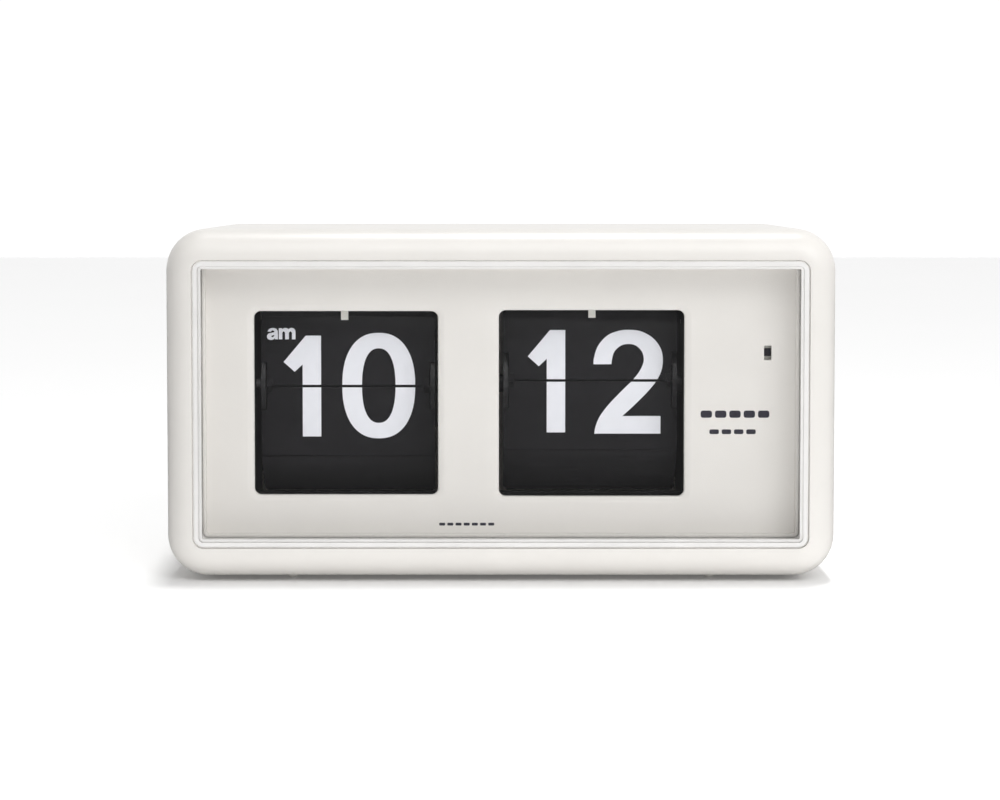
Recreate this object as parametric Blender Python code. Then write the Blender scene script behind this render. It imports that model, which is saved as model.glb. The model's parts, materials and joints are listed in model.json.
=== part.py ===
"""Flip number clock, a free-standing desk clock with two leaf drums.

Metres, +Z up, front facing -Y, origin in the middle of the footprint at the surface that it stands on.
Every arbor runs along X, and a positive turn is anticlockwise as seen from +X.
"""

import math

import bmesh
import bpy
from mathutils import Matrix

# Driving dimensions

GAP = 0.0003

CASE_WIDTH = 0.2100
CASE_HEIGHT = 0.1094
CASE_CORNER = 0.0130
CASE_WALL = 0.0025
CASE_FRONT = -0.0475
CASE_BACK = 0.0445
CASE_ROUNDING = 0.0088
FOOT_HEIGHT = 0.0016
FOOT_X = 0.0662
FOOT_Y = 0.0340
FOOT_STEM_HALF = 0.0009
MIDDLE_Z = FOOT_HEIGHT + CASE_HEIGHT / 2

OPENING_HALF_WIDTH = 0.0962
OPENING_HALF_HEIGHT = 0.04505
OPENING_CORNER = 0.0034
RETURN_DEPTH = 0.0090
RETURN_WALL = 0.0018

LENS_FRONT = -0.0472
LENS_PANE = 0.0012
LENS_WALL = 0.0014
LENS_EDGE = 0.0008
SNAP_X = 0.0469
SNAP_WIDTH = 0.0100
SNAP_LENGTH = 0.0045
SNAP_THICKNESS = 0.0012

DIAL_FRONT = -0.0340
DIAL_THICKNESS = 0.0015
DIAL_BACK = DIAL_FRONT + DIAL_THICKNESS
DIAL_RIM = 0.0010
DIAL_RIM_HEIGHT = 0.0020
DIAL_HALF_WIDTH = 0.1012
DIAL_HALF_HEIGHT = 0.0509
DIAL_CORNER = 0.0090
DIAL_POST_RADIUS = 0.0026
WINDOW_CORNER = 0.0021
WINDOW_FRAME = 0.0024
HOUR_WINDOW = ((-0.0491, 0.0555), (0.02915, 0.0292))
MINUTE_WINDOW = ((0.0288, 0.0554), (0.0294, 0.0296))
INDICATOR_SLOT_X = 0.0846
INDICATOR_SLOT_Z = 0.0715
INDICATOR_SLOT_WIDTH = 0.0024
INDICATOR_SLOT_HEIGHT = 0.0046

DRUM_Y = -0.0103
DRUM_Z = 0.0596
HINGE_RADIUS = 0.0130
FLANGE_RADIUS = 0.0139
FLANGE_THICKNESS = 0.0014
FLANGE_SETBACK = 0.02655
CORE_RADIUS = 0.0106
CORE_WALL = 0.0012
HUB_RADIUS = 0.0030
GROOVE_INNER = 0.0116
GROOVE_OUTER = 0.0135
GROOVE_DEPTH = 0.0008
HOUR_X = -0.0492
MINUTE_X = 0.0288
HOUR_HINGE_Z = 0.0599
MINUTE_HINGE_Z = 0.0617

LEAF_LENGTH = 0.0224
LEAF_THICKNESS = 0.0004
LEAF_OFFSET = 0.0002
LEAF_HALF_WIDTH = 0.0280
LEAF_BASE_HALF = 0.0262
LEAF_THROAT_HALF = 0.0246
HOUR_NOTCH = 0.0077
MINUTE_NOTCH = 0.0091
LEAF_CORNER = 0.0015
PIN_RADIUS = 0.0003
PIN_REACH = 0.0272

PRESSURE_ANGLE = math.radians(20)
TOOTH_SHARE = 0.43
ADDENDUM = 0.90
DEDENDUM = 1.25

BATTERY_X = -0.0472
BATTERY_Y = 0.0245
BATTERY_Z = 0.0240
BATTERY_RADIUS = 0.0171
BATTERY_LENGTH = 0.0600
BATTERY_NUB = 0.0015
TRAY_WALL = 0.0015

COVER_BACK = 0.0442
COVER_THICKNESS = 0.0022
DOOR_HALF_WIDTH = 0.0330
DOOR_BOTTOM = 0.0060
DOOR_TOP = 0.0425
SCREW_X = 0.0945
SCREW_Z_OFFSET = 0.0455
SCREW_RADIUS = 0.0013
SCREW_HEAD_RADIUS = 0.0030
SCREW_LENGTH = 0.0090
POST_RADIUS = 0.0036
POST_FRONT = 0.0300

PLATE_THICKNESS = 0.0015
PLATE_FRONT = -0.0232
LEFT_PLATE_X = -0.0815
MIDDLE_PLATE_X = -0.0115
RIGHT_PLATE_X = 0.0592
INNER_PLATE_X = 0.0655
OUTER_PLATE_X = 0.0900
ARBOR_RADIUS = 0.0015
THIN_ARBOR_RADIUS = 0.0008
RAIL_FRONT = -0.0260
RAIL_BACK = -0.0235
UPPER_RAIL_Z = (0.0905, 0.0955)
LOWER_RAIL_Z = (0.0170, 0.0262)
RAIL_SCREW_X = 0.0740
PLATE_BOTTOM = 0.0170
PLATE_TOP = 0.0960
TIE_ROD = (-0.0020, 0.0200)
FINGER_HALF_WIDTH = 0.00115

HOUR_WHEEL_X = (-0.0185, -0.0170)
MINUTE_WHEEL_X = (0.0618, 0.0633)
MINUTE_PINION_X = (-0.0068, -0.0042)
TRANSFER_ARBOR_X = (-0.0192, -0.0040)
TRANSFER_PINION_X = (-0.0189, -0.0168)
TRANSFER_WHEEL_X = (-0.0062, -0.0049)
REDUCTION_PINION_X = (0.0614, 0.0637)
REDUCTION_WHEEL_X = (0.0675, 0.0690)
INDICATOR_PINION_X = (0.0673, 0.0693)
INDICATOR_WHEEL_X = (0.0808, 0.0822)
INDICATOR_DRUM_X = (0.0828, 0.0870)
INDICATOR_DRUM_RADIUS = 0.0100
ROTOR_PINION_X = (0.0806, 0.0824)
THUMBWHEEL_X = (0.0700, 0.0750)
THUMBWHEEL_RADIUS = 0.0158
THUMBWHEEL_RIDGES = 44
THUMBWHEEL_SLOT_HALF = 0.0136


# Materials

def plastic(name, colour, roughness=0.45):
    return finish(name, colour, roughness, 0.0)


def metal(name, colour, roughness=0.3):
    return finish(name, colour, roughness, 1.0)


def finish(name, colour, roughness, metallic):
    """A Principled material of one colour."""
    material = bpy.data.materials.new(name)
    material.use_nodes = True
    material.diffuse_color = (*colour, 1.0)
    shader = material.node_tree.nodes["Principled BSDF"]
    shader.inputs["Base Color"].default_value = (*colour, 1.0)
    shader.inputs["Roughness"].default_value = roughness
    shader.inputs["Metallic"].default_value = metallic
    return material


CREAM = (0.86, 0.85, 0.81)
BLACKENED = (0.03, 0.03, 0.032)
LEAF_BLACK = (0.016, 0.015, 0.018)
NYLON = (0.83, 0.82, 0.76)
GREY = (0.20, 0.20, 0.21)
STEEL = (0.62, 0.62, 0.63)
BRASS = (0.78, 0.60, 0.30)


# Making meshes

def empty(name, x, y, z):
    """An axis or a place that pieces hang from."""
    holder = bpy.data.objects.new(name, None)
    holder.location = (x, y, z)
    holder.empty_display_size = 0.01
    bpy.context.scene.collection.objects.link(holder)
    return holder


def solid(name, mesh_data, material, parent=None, smooth=False):
    """The object that holds this bmesh, with its faces pointing out."""
    bmesh.ops.recalc_face_normals(mesh_data, faces=mesh_data.faces)
    mesh = bpy.data.meshes.new(name)
    mesh_data.to_mesh(mesh)
    mesh_data.free()
    if material:
        mesh.materials.append(material)
    if smooth:
        mesh.shade_smooth()
        mesh.set_sharp_from_angle(angle=math.radians(35))
    made = bpy.data.objects.new(name, mesh)
    bpy.context.scene.collection.objects.link(made)
    made.parent = parent
    return made


def helper(made):
    """Keeps a cutter or a joined-on shape out of the render."""
    made.hide_render = True
    made.display_type = "WIRE"
    return made


def combine(target, operation, others):
    for other in others:
        step = target.modifiers.new(operation.title() + " " + other.name, "BOOLEAN")
        step.operation = operation
        step.object = helper(other)
        step.solver = "EXACT"


def cut(target, *cutters):
    combine(target, "DIFFERENCE", cutters)


def join(target, *pieces):
    combine(target, "UNION", pieces)


def box(name, low, high, material=None, parent=None):
    data = bmesh.new()
    size = [b - a for a, b in zip(low, high)]
    middle = [(a + b) / 2 for a, b in zip(low, high)]
    matrix = Matrix.Translation(middle) @ Matrix.Diagonal((*size, 1.0))
    bmesh.ops.create_cube(data, size=1.0, matrix=matrix)
    return solid(name, data, material, parent)


def rounded_ring(half_width, half_height, radius, y, middle=(0.0, 0.0), steps=5):
    """Points round a rounded rectangle in the plane at y, as many whatever its size."""
    ring = []
    for corner, (side, level) in enumerate(((1, 1), (-1, 1), (-1, -1), (1, -1))):
        for step in range(steps + 1):
            angle = math.radians(90 * (corner + step / steps))
            x = side * (half_width - radius) + radius * math.cos(angle)
            z = level * (half_height - radius) + radius * math.sin(angle)
            ring.append((middle[0] + x, y, middle[1] + z))
    return ring


def loft(name, rings, material=None, parent=None, closed=False, smooth=True):
    """Skins a row of rings. A closed loft joins its last ring to its first, an open one is capped."""
    data = bmesh.new()
    loops = [[data.verts.new(point) for point in ring] for ring in rings]
    pairs = list(zip(loops, loops[1:]))
    if closed:
        pairs.append((loops[-1], loops[0]))
    else:
        data.faces.new(loops[0])
        data.faces.new(loops[-1])
    for here, there in pairs:
        count = len(here)
        for index in range(count):
            after = (index + 1) % count
            data.faces.new((here[index], here[after], there[after], there[index]))
    return solid(name, data, material, parent, smooth)


def prism(name, outline, start, end, material=None, parent=None, smooth=False):
    """Extrudes an outline of (y, z) points along X."""
    rings = [[(x, y, z) for y, z in outline] for x in (start, end)]
    return loft(name, rings, material, parent, smooth=smooth)


def rod(name, radius, start, end, centre=(0.0, 0.0), material=None, parent=None, axis="X", sides=16):
    """A round bar. Its centre is (y, z) along X and (x, z) along Y."""
    circle = [2 * math.pi * index / sides for index in range(sides)]
    rings = []
    for along in (start, end):
        ring = []
        for angle in circle:
            first = centre[0] + radius * math.cos(angle)
            second = centre[1] + radius * math.sin(angle)
            ring.append((along, first, second) if axis == "X" else (first, along, second))
        rings.append(ring)
    return loft(name, rings, material, parent)


def turned(name, profile, material=None, parent=None, sides=32):
    """Spins a closed profile of (x, radius) points round X."""
    data = bmesh.new()
    corners = [data.verts.new((x, 0.0, radius)) for x, radius in profile]
    for index, corner in enumerate(corners):
        data.edges.new((corner, corners[(index + 1) % len(corners)]))
    bmesh.ops.spin(
        data,
        geom=data.verts[:] + data.edges[:],
        axis=(1.0, 0.0, 0.0),
        cent=(0.0, 0.0, 0.0),
        angle=2 * math.pi,
        steps=sides,
        use_merge=True,
    )
    bmesh.ops.remove_doubles(data, verts=data.verts[:], dist=1e-6)
    return solid(name, data, material, parent, smooth=True)


# Gears

def involute(angle):
    return math.tan(angle) - angle


class Gear:
    """One toothed wheel on an arbor: its teeth, module, place in the YZ plane and the angle of a tooth."""

    def __init__(self, teeth, module, place, phase=0.0):
        self.teeth = teeth
        self.module = module
        self.place = place
        self.phase = phase

    @property
    def radius(self):
        return self.teeth * self.module / 2

    def mesh_with(self, driver):
        """Turns this gear so that its gaps meet the driver's teeth on the line of centres."""
        across = self.place[0] - driver.place[0]
        up = self.place[1] - driver.place[1]
        line = math.atan2(up, across)
        turn = (driver.phase - line) * driver.radius / self.radius
        self.phase = line + math.pi - turn + math.pi / self.teeth
        return self

    def outline(self):
        """Tooth by tooth: up one flank and down the other."""
        base = self.radius * math.cos(PRESSURE_ANGLE)
        root = self.radius - DEDENDUM * self.module
        tip = self.radius + ADDENDUM * self.module
        flank = (root, tip) if self.teeth >= 20 else (root, self.radius, tip)
        points = []
        for tooth in range(self.teeth):
            middle = self.phase + 2 * math.pi * tooth / self.teeth
            halves = []
            for radius in flank:
                lean = math.acos(min(1.0, base / radius))
                half = TOOTH_SHARE * math.pi / self.teeth + involute(PRESSURE_ANGLE) - involute(lean)
                halves.append((radius, half))
            points += [(radius, middle - half) for radius, half in halves]
            points += [(radius, middle + half) for radius, half in reversed(halves)]
        return [(radius * math.cos(angle), radius * math.sin(angle)) for radius, angle in points]

    def body(self, name, start, end, material=None, parent=None):
        """The toothed blank, centred on its own axis."""
        return prism(name, self.outline(), start, end, material, parent)


def away(place, distance, degrees):
    """The point at this distance and angle from a place in the YZ plane."""
    angle = math.radians(degrees)
    return (place[0] + distance * math.cos(angle), place[1] + distance * math.sin(angle))


DRUM = (DRUM_Y, DRUM_Z)
INDICATOR = (-0.0210, 0.0715)

HOUR_WHEEL = Gear(60, 0.0006, DRUM)
TRANSFER_PINION = Gear(10, 0.0006, away(DRUM, 0.0210, -20)).mesh_with(HOUR_WHEEL)
TRANSFER_WHEEL = Gear(48, 0.0007, TRANSFER_PINION.place)
MINUTE_PINION = Gear(12, 0.0007, DRUM).mesh_with(TRANSFER_WHEEL)
MINUTE_WHEEL = Gear(60, 0.0006, DRUM)
REDUCTION_PINION = Gear(8, 0.0006, away(DRUM, 0.0204, 80.2)).mesh_with(MINUTE_WHEEL)
REDUCTION_WHEEL = Gear(64, 0.00045, REDUCTION_PINION.place)
INDICATOR_PINION = Gear(8, 0.00045, INDICATOR).mesh_with(REDUCTION_WHEEL)
INDICATOR_WHEEL = Gear(48, 0.0004, INDICATOR)
ROTOR_PINION = Gear(8, 0.0004, away(INDICATOR, 0.0112, -70)).mesh_with(INDICATOR_WHEEL)
IDLER_WHEEL = Gear(30, 0.0006, away(DRUM, 0.0270, 0)).mesh_with(MINUTE_WHEEL)
SETTING_GEAR = Gear(20, 0.0006, away(DRUM, 0.0420, 0)).mesh_with(IDLER_WHEEL)


def lighten(wheel, gear, start, end, holes=4, share=0.6, size=0.22):
    """Cuts round holes through a wheel's web."""
    for hole in range(holes):
        angle = gear.phase + 2 * math.pi * hole / holes
        centre = (share * gear.radius * math.cos(angle), share * gear.radius * math.sin(angle))
        hole_radius = size * gear.radius
        cut(wheel, rod(f"{wheel.name} hole {hole + 1}", hole_radius, start - GAP, end + GAP, centre,
                       parent=wheel.parent, sides=12))


def wheel_on_axis(name, gear, start, end, bore, material, parent):
    """A wheel with a bore and a web lightened by holes."""
    wheel = gear.body(name, start, end, material, parent)
    cut(wheel, rod(name + " bore", bore, start - GAP, end + GAP, parent=parent))
    lighten(wheel, gear, start, end)
    return wheel


# Case

def case_shell(material):
    """One moulding: bullnose front, a return wall round the opening, four screw posts."""
    half_width = CASE_WIDTH / 2
    half_height = CASE_HEIGHT / 2
    inset_x = half_width - OPENING_HALF_WIDTH
    inset_z = half_height - OPENING_HALF_HEIGHT
    corner_change = CASE_CORNER - OPENING_CORNER
    middle = (0.0, MIDDLE_Z)
    rings = [rounded_ring(half_width, half_height, CASE_CORNER, CASE_BACK, middle)]
    for step in range(7):
        angle = math.radians(15 * step)
        inward = 1 - math.cos(angle)
        y = CASE_FRONT + CASE_ROUNDING * (1 - math.sin(angle))
        width = half_width - inset_x * inward
        height = half_height - inset_z * inward
        rings.append(rounded_ring(width, height, CASE_CORNER - corner_change * inward, y, middle))
    return_back = CASE_FRONT + RETURN_DEPTH
    rings.append(rounded_ring(OPENING_HALF_WIDTH, OPENING_HALF_HEIGHT, OPENING_CORNER, return_back, middle))
    for inward, y in ((0.0, return_back), (0.0, CASE_FRONT + 0.0030), (0.5, CASE_FRONT + 0.0042),
                      (0.85, CASE_FRONT + 0.0066), (1.0, CASE_FRONT + CASE_ROUNDING)):
        width = OPENING_HALF_WIDTH + RETURN_WALL
        height = OPENING_HALF_HEIGHT + RETURN_WALL
        corner = OPENING_CORNER + RETURN_WALL
        width += inward * (half_width - CASE_WALL - width)
        height += inward * (half_height - CASE_WALL - height)
        corner += inward * (CASE_CORNER - CASE_WALL - corner)
        rings.append(rounded_ring(width, height, corner, y, middle))
    inner = (half_width - CASE_WALL, half_height - CASE_WALL, CASE_CORNER - CASE_WALL)
    rings.append(rounded_ring(*inner, CASE_BACK, middle))
    shell = loft("case_shell", rings, material, closed=True)
    for side in (-1, 1):
        for level in (-1, 1):
            add_screw_post(shell, side, level)
    for side in (-1, 1):
        for depth in (-FOOT_Y, FOOT_Y):
            room = FOOT_STEM_HALF + GAP
            hole = box("foot hole", (-room, -room, -0.001), (room, room, CASE_WALL))
            hole.location = (side * FOOT_X, depth, FOOT_HEIGHT)
            cut(shell, hole)
    return shell


def add_screw_post(shell, side, level):
    """A post inside a rear corner of the case, with a pilot hole for a cover screw."""
    x = side * SCREW_X
    z = MIDDLE_Z + level * SCREW_Z_OFFSET
    post_back = COVER_BACK - COVER_THICKNESS - GAP
    join(shell, rod("screw post", POST_RADIUS, POST_FRONT, post_back, (x, z), axis="Y"))
    wall = side * (CASE_WIDTH / 2 - CASE_WALL / 2)
    inner, outer = sorted((x, wall))
    join(shell, box("post rib", (inner, POST_FRONT, z - 0.0010), (outer, post_back, z + 0.0010)))
    cut(shell, rod("pilot hole", SCREW_RADIUS + GAP, POST_FRONT + 0.003, post_back + 0.001, (x, z), axis="Y"))


def foot(name, side, depth, material):
    """A small stud with a stem in the case floor and a flat underside."""
    place = empty(name + "_place", side * FOOT_X, depth, 0.0)
    levels = ((0.0, 0.0011), (0.0005, 0.0016), (FOOT_HEIGHT - 0.0001, 0.0018))
    made = turned_up(name, levels, material, place)
    stem = FOOT_STEM_HALF
    join(made, box(name + " stem", (-stem, -stem, 0.0010), (stem, stem, FOOT_HEIGHT + 0.0020), parent=place))


def turned_up(name, levels, material, parent, sides=14):
    """A round solid that stands on Z, from (z, radius) levels."""
    rings = []
    for z, radius in levels:
        angles = [2 * math.pi * index / sides for index in range(sides)]
        rings.append([(radius * math.cos(angle), radius * math.sin(angle), z) for angle in angles])
    return loft(name, rings, material, parent)


def front_lens(material):
    """A clear box, open behind, with snap tabs that pass through the dial plate."""
    half_width = OPENING_HALF_WIDTH - GAP
    half_height = OPENING_HALF_HEIGHT - GAP
    corner = OPENING_CORNER - GAP
    edge = LENS_EDGE
    wall = LENS_WALL
    back = DIAL_FRONT - GAP
    middle = (0.0, MIDDLE_Z)
    pane_back = LENS_FRONT + LENS_PANE
    rings = [
        rounded_ring(half_width - edge, half_height - edge, corner - edge, LENS_FRONT, middle),
        rounded_ring(half_width - edge * 0.3, half_height - edge * 0.3, corner - edge * 0.3,
                     LENS_FRONT + edge * 0.3, middle),
        rounded_ring(half_width, half_height, corner, LENS_FRONT + edge, middle),
        rounded_ring(half_width, half_height, corner, back, middle),
        rounded_ring(half_width - wall, half_height - wall, corner - wall, back, middle),
        rounded_ring(half_width - wall, half_height - wall, corner - wall, pane_back + edge, middle),
        rounded_ring(half_width - wall - edge, half_height - wall - edge, corner - wall - edge, pane_back,
                     middle),
    ]
    lens = loft("front_lens", rings, material)
    for side in (-1, 1):
        for level in (-1, 1):
            outer = MIDDLE_Z + level * half_height
            inner = outer - level * SNAP_THICKNESS
            low = (side * SNAP_X - SNAP_WIDTH / 2, back - 0.0020, min(outer, inner))
            high = (side * SNAP_X + SNAP_WIDTH / 2, back + SNAP_LENGTH, max(outer, inner))
            join(lens, box("snap tab", low, high))
    return lens


def window_cutter(name, window):
    """Cuts one window, with a shallow sloping frame and a softened edge."""
    middle, (half_width, half_height) = window
    levels = ((WINDOW_FRAME, DIAL_FRONT - 0.0010), (WINDOW_FRAME, DIAL_FRONT), (0.0006, DIAL_FRONT + 0.0004),
              (0.0, DIAL_FRONT + 0.0009), (0.0, DIAL_BACK + 0.0010))
    rings = [rounded_ring(half_width + out, half_height + out, WINDOW_CORNER + out, y, middle, 3)
             for out, y in levels]
    return loft(name, rings)


def dial_plate(material):
    """The face: a plate behind the lens, with a low rim inside the lens walls and posts behind."""
    outer = (DIAL_HALF_WIDTH, DIAL_HALF_HEIGHT, DIAL_CORNER)
    inset = LENS_WALL + 2 * GAP
    rim_width = OPENING_HALF_WIDTH - inset
    rim_height = OPENING_HALF_HEIGHT - inset
    rim_outside = (rim_width, rim_height, OPENING_CORNER - inset)
    rim_inside = (rim_width - DIAL_RIM, rim_height - DIAL_RIM, 0.0008)
    rim_top = DIAL_FRONT - DIAL_RIM_HEIGHT
    levels = ((outer, DIAL_BACK), (outer, DIAL_FRONT), (rim_outside, DIAL_FRONT), (rim_outside, rim_top),
              (rim_inside, rim_top), (rim_inside, DIAL_FRONT))
    rings = [rounded_ring(*size, y, (0.0, MIDDLE_Z)) for size, y in levels]
    plate = loft("dial_plate", rings, material)
    for side in (-1, 1):
        for rail in (UPPER_RAIL_Z, LOWER_RAIL_Z):
            centre = (side * RAIL_SCREW_X, sum(rail) / 2)
            post = rod("dial post", DIAL_POST_RADIUS, DIAL_BACK - 0.0005, RAIL_FRONT - GAP, centre, axis="Y")
            join(plate, post)
            cut(plate, rod("post hole", SCREW_RADIUS + GAP, DIAL_BACK + 0.0010, RAIL_FRONT, centre, axis="Y"))
        for level in (-1, 1):
            z = MIDDLE_Z + level * (OPENING_HALF_HEIGHT - GAP - SNAP_THICKNESS / 2)
            half_width = SNAP_WIDTH / 2 + GAP
            half_height = SNAP_THICKNESS / 2 + GAP
            x = side * SNAP_X
            cut(plate, box("snap slot", (x - half_width, DIAL_FRONT - 0.001, z - half_height),
                           (x + half_width, DIAL_BACK + 0.001, z + half_height)))
    cut(plate, window_cutter("hour window", HOUR_WINDOW), window_cutter("minute window", MINUTE_WINDOW))
    half_width = INDICATOR_SLOT_WIDTH / 2
    half_height = INDICATOR_SLOT_HEIGHT / 2
    cut(plate, box("indicator slot",
                   (INDICATOR_SLOT_X - half_width, DIAL_FRONT - 0.001, INDICATOR_SLOT_Z - half_height),
                   (INDICATOR_SLOT_X + half_width, DIAL_BACK + 0.001, INDICATOR_SLOT_Z + half_height)))
    return plate


def back_cover(material):
    """A plate that closes the case, with the battery opening and the slot for the setting wheel."""
    inset = CASE_WALL + GAP
    size = (CASE_WIDTH / 2 - inset, CASE_HEIGHT / 2 - inset, CASE_CORNER - inset)
    middle = (0.0, MIDDLE_Z)
    front = COVER_BACK - COVER_THICKNESS
    cover = loft("back_cover", [rounded_ring(*size, y, middle) for y in (front, COVER_BACK)], material)
    low = (BATTERY_X - DOOR_HALF_WIDTH - GAP, front - 0.001, DOOR_BOTTOM - GAP)
    high = (BATTERY_X + DOOR_HALF_WIDTH + GAP, COVER_BACK + 0.001, DOOR_TOP + GAP)
    cut(cover, box("battery opening", low, high))
    slot_z = SETTING_GEAR.place[1]
    slot_start = THUMBWHEEL_X[0] - 2 * GAP
    slot_end = THUMBWHEEL_X[1] + 2 * GAP
    cut(cover, box("setting slot", (slot_start, front - 0.001, slot_z - THUMBWHEEL_SLOT_HALF),
                   (slot_end, COVER_BACK + 0.001, slot_z + THUMBWHEEL_SLOT_HALF)))
    for side in (-1, 1):
        for level in (-1, 1):
            centre = (side * SCREW_X, MIDDLE_Z + level * SCREW_Z_OFFSET)
            for name, radius, start in (("screw hole", SCREW_RADIUS, front - 0.001),
                                        ("screw seat", SCREW_HEAD_RADIUS, COVER_BACK - 0.0012)):
                cut(cover, rod(name, radius + GAP, start, COVER_BACK + 0.001, centre, axis="Y"))
    return cover


def screw(name, x, z, head_back, head_depth, length, material):
    """A cross-head screw that points to the front, with its head at the back."""
    head = rod(name, SCREW_HEAD_RADIUS, head_back - head_depth, head_back, (x, z), material, axis="Y")
    shank_back = head_back - head_depth / 2
    join(head, rod(name + " shank", SCREW_RADIUS, head_back - length, shank_back, (x, z), axis="Y", sides=12))
    for wide, tall in ((0.0016, 0.0003), (0.0003, 0.0016)):
        low = (x - wide, head_back - 0.0006, z - tall)
        high = (x + wide, head_back + 0.001, z + tall)
        cut(head, box(name + " recess", low, high))
    return head


# Battery

def battery_tray(material):
    """A trough for one D cell, open towards the door."""
    half = BATTERY_LENGTH / 2 + 0.0030
    low = (BATTERY_X - half - TRAY_WALL, BATTERY_Y - BATTERY_RADIUS - 0.0024, 0.0046)
    high = (BATTERY_X + half + TRAY_WALL, COVER_BACK - COVER_THICKNESS - GAP, 0.0433)
    tray = box("battery_tray", low, high, material)
    inner_low = (BATTERY_X - half, low[1] + TRAY_WALL, low[2] + TRAY_WALL)
    inner_high = (BATTERY_X + half, high[1] + 0.001, high[2] - TRAY_WALL)
    cut(tray, box("tray hollow", inner_low, inner_high))
    return tray


def d_cell(material):
    place = empty("d_cell_place", BATTERY_X, BATTERY_Y, BATTERY_Z)
    half = BATTERY_LENGTH / 2
    cell = rod("d_cell", BATTERY_RADIUS, -half, half, material=material, parent=place, sides=40)
    join(cell, rod("cell nub", 0.0048, half - 0.001, half + BATTERY_NUB, parent=place))
    return cell


def battery_spring(material):
    """A cone of wire that presses on the cell's flat end."""
    turns = 2.5
    steps = 30
    start = -BATTERY_LENGTH / 2 - 0.0028
    end = -BATTERY_LENGTH / 2 - 0.0006
    curve = bpy.data.curves.new("battery_spring", "CURVE")
    curve.dimensions = "3D"
    curve.bevel_depth = 0.00025
    curve.bevel_resolution = 1
    curve.use_fill_caps = True
    wire = curve.splines.new("POLY")
    wire.points.add(steps - 1)
    for index, point in enumerate(wire.points):
        share = index / (steps - 1)
        angle = 2 * math.pi * turns * share
        radius = 0.0080 - 0.0045 * share
        x = BATTERY_X + start + (end - start) * share
        point.co = (x, BATTERY_Y + radius * math.cos(angle), BATTERY_Z + radius * math.sin(angle), 1.0)
    curve.materials.append(material)
    spring = bpy.data.objects.new("battery_spring", curve)
    bpy.context.scene.collection.objects.link(spring)
    return spring


def positive_contact(material):
    x = BATTERY_X + BATTERY_LENGTH / 2 + BATTERY_NUB + GAP
    low = (x, BATTERY_Y - 0.0050, BATTERY_Z - 0.0080)
    high = (x + 0.0005, BATTERY_Y + 0.0050, BATTERY_Z + 0.0110)
    return box("positive_contact", low, high, material)


def battery_door(material):
    """Hinged along its bottom edge, with a finger grip near the top."""
    thickness = COVER_THICKNESS - 0.0002
    hinge_y = COVER_BACK - thickness / 2
    hinge_z = DOOR_BOTTOM + thickness / 2
    hinge = empty("battery_door_hinge", BATTERY_X, hinge_y, hinge_z)
    half = thickness / 2
    top = DOOR_TOP - hinge_z
    arc = [math.radians(180 + 180 * step / 6) for step in range(7)]
    outline = [(half * math.cos(angle), half * math.sin(angle)) for angle in arc]
    outline += [(half, top - 0.0005), (half - 0.0005, top), (-half, top)]
    door = prism("battery_door", outline, -DOOR_HALF_WIDTH, DOOR_HALF_WIDTH, material, hinge)
    for rib in range(3):
        z = top - 0.0050 - 0.0022 * rib
        low = (-0.0070, half - 0.0005, z)
        high = (0.0070, half + 0.001, z + 0.0010)
        cut(door, box(f"grip groove {rib + 1}", low, high, parent=hinge))
    return door


# Drums and leaves

def spool_profile(low, high, left_end, right_end):
    """Hub, left flange and hollow core in one, open to the right. X runs from the drum's middle."""
    web = low + FLANGE_THICKNESS
    floor = web - GROOVE_DEPTH
    bore = ARBOR_RADIUS + GAP
    inside = CORE_RADIUS - CORE_WALL
    return [
        (left_end, bore), (right_end, bore), (right_end, HUB_RADIUS), (web, HUB_RADIUS),
        (web, inside), (high, inside), (high, CORE_RADIUS), (web, CORE_RADIUS),
        (web, GROOVE_INNER), (floor, GROOVE_INNER), (floor, GROOVE_OUTER), (web, GROOVE_OUTER),
        (web, FLANGE_RADIUS), (low, FLANGE_RADIUS), (low, HUB_RADIUS), (left_end, HUB_RADIUS),
    ]


def flange_profile(start, end):
    """The drum's right flange, with the leaf groove on its left face."""
    bore = HUB_RADIUS + GAP
    floor = start + GROOVE_DEPTH
    return [
        (start, bore), (start, GROOVE_INNER), (floor, GROOVE_INNER), (floor, GROOVE_OUTER),
        (start, GROOVE_OUTER), (start, FLANGE_RADIUS), (end, FLANGE_RADIUS), (end, bore),
    ]


def drum(prefix, x, left_end, right_end, material):
    """Spool and flange on one axis. Returns the spool."""
    axis = empty(prefix + "_drum_axis", x, DRUM_Y, DRUM_Z)
    left = -FLANGE_SETBACK - FLANGE_THICKNESS
    right = FLANGE_SETBACK
    profile = spool_profile(left, right - GAP, left_end - x, right_end - x)
    spool = turned(prefix + "_spool", profile, material, axis)
    turned(prefix + "_flange", flange_profile(right, right + FLANGE_THICKNESS), material, axis)
    return spool


def hour_drum(material, brass):
    left_end = HOUR_X - FLANGE_SETBACK - FLANGE_THICKNESS - 0.0015
    spool = drum("hour", HOUR_X, left_end, -0.0155, material)
    start, end = (x - HOUR_X for x in HOUR_WHEEL_X)
    wheel_on_axis("hour_wheel", HOUR_WHEEL, start, end, HUB_RADIUS + GAP / 2, brass, spool.parent)


def minute_drum(material, brass):
    """The drum that the movement turns. Its pinion drives the hour drum through the transfer arbor."""
    spool = drum("minute", MINUTE_X, -0.0072, 0.0644, material)
    axis = spool.parent
    start, end = (x - MINUTE_X for x in MINUTE_PINION_X)
    join(spool, MINUTE_PINION.body("minute pinion", start, end, parent=axis))
    cut(spool, rod("minute bore", ARBOR_RADIUS + GAP, -0.0080 - MINUTE_X, 0.0, parent=axis))
    start, end = (x - MINUTE_X for x in MINUTE_WHEEL_X)
    wheel_on_axis("minute_wheel", MINUTE_WHEEL, start, end, HUB_RADIUS + GAP / 2, brass, axis)


def hinge_y(hinge_z):
    """How far forward the leaf hinge stands on its circle round the drum."""
    return DRUM_Y - math.sqrt(HINGE_RADIUS ** 2 - (hinge_z - DRUM_Z) ** 2)


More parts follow.
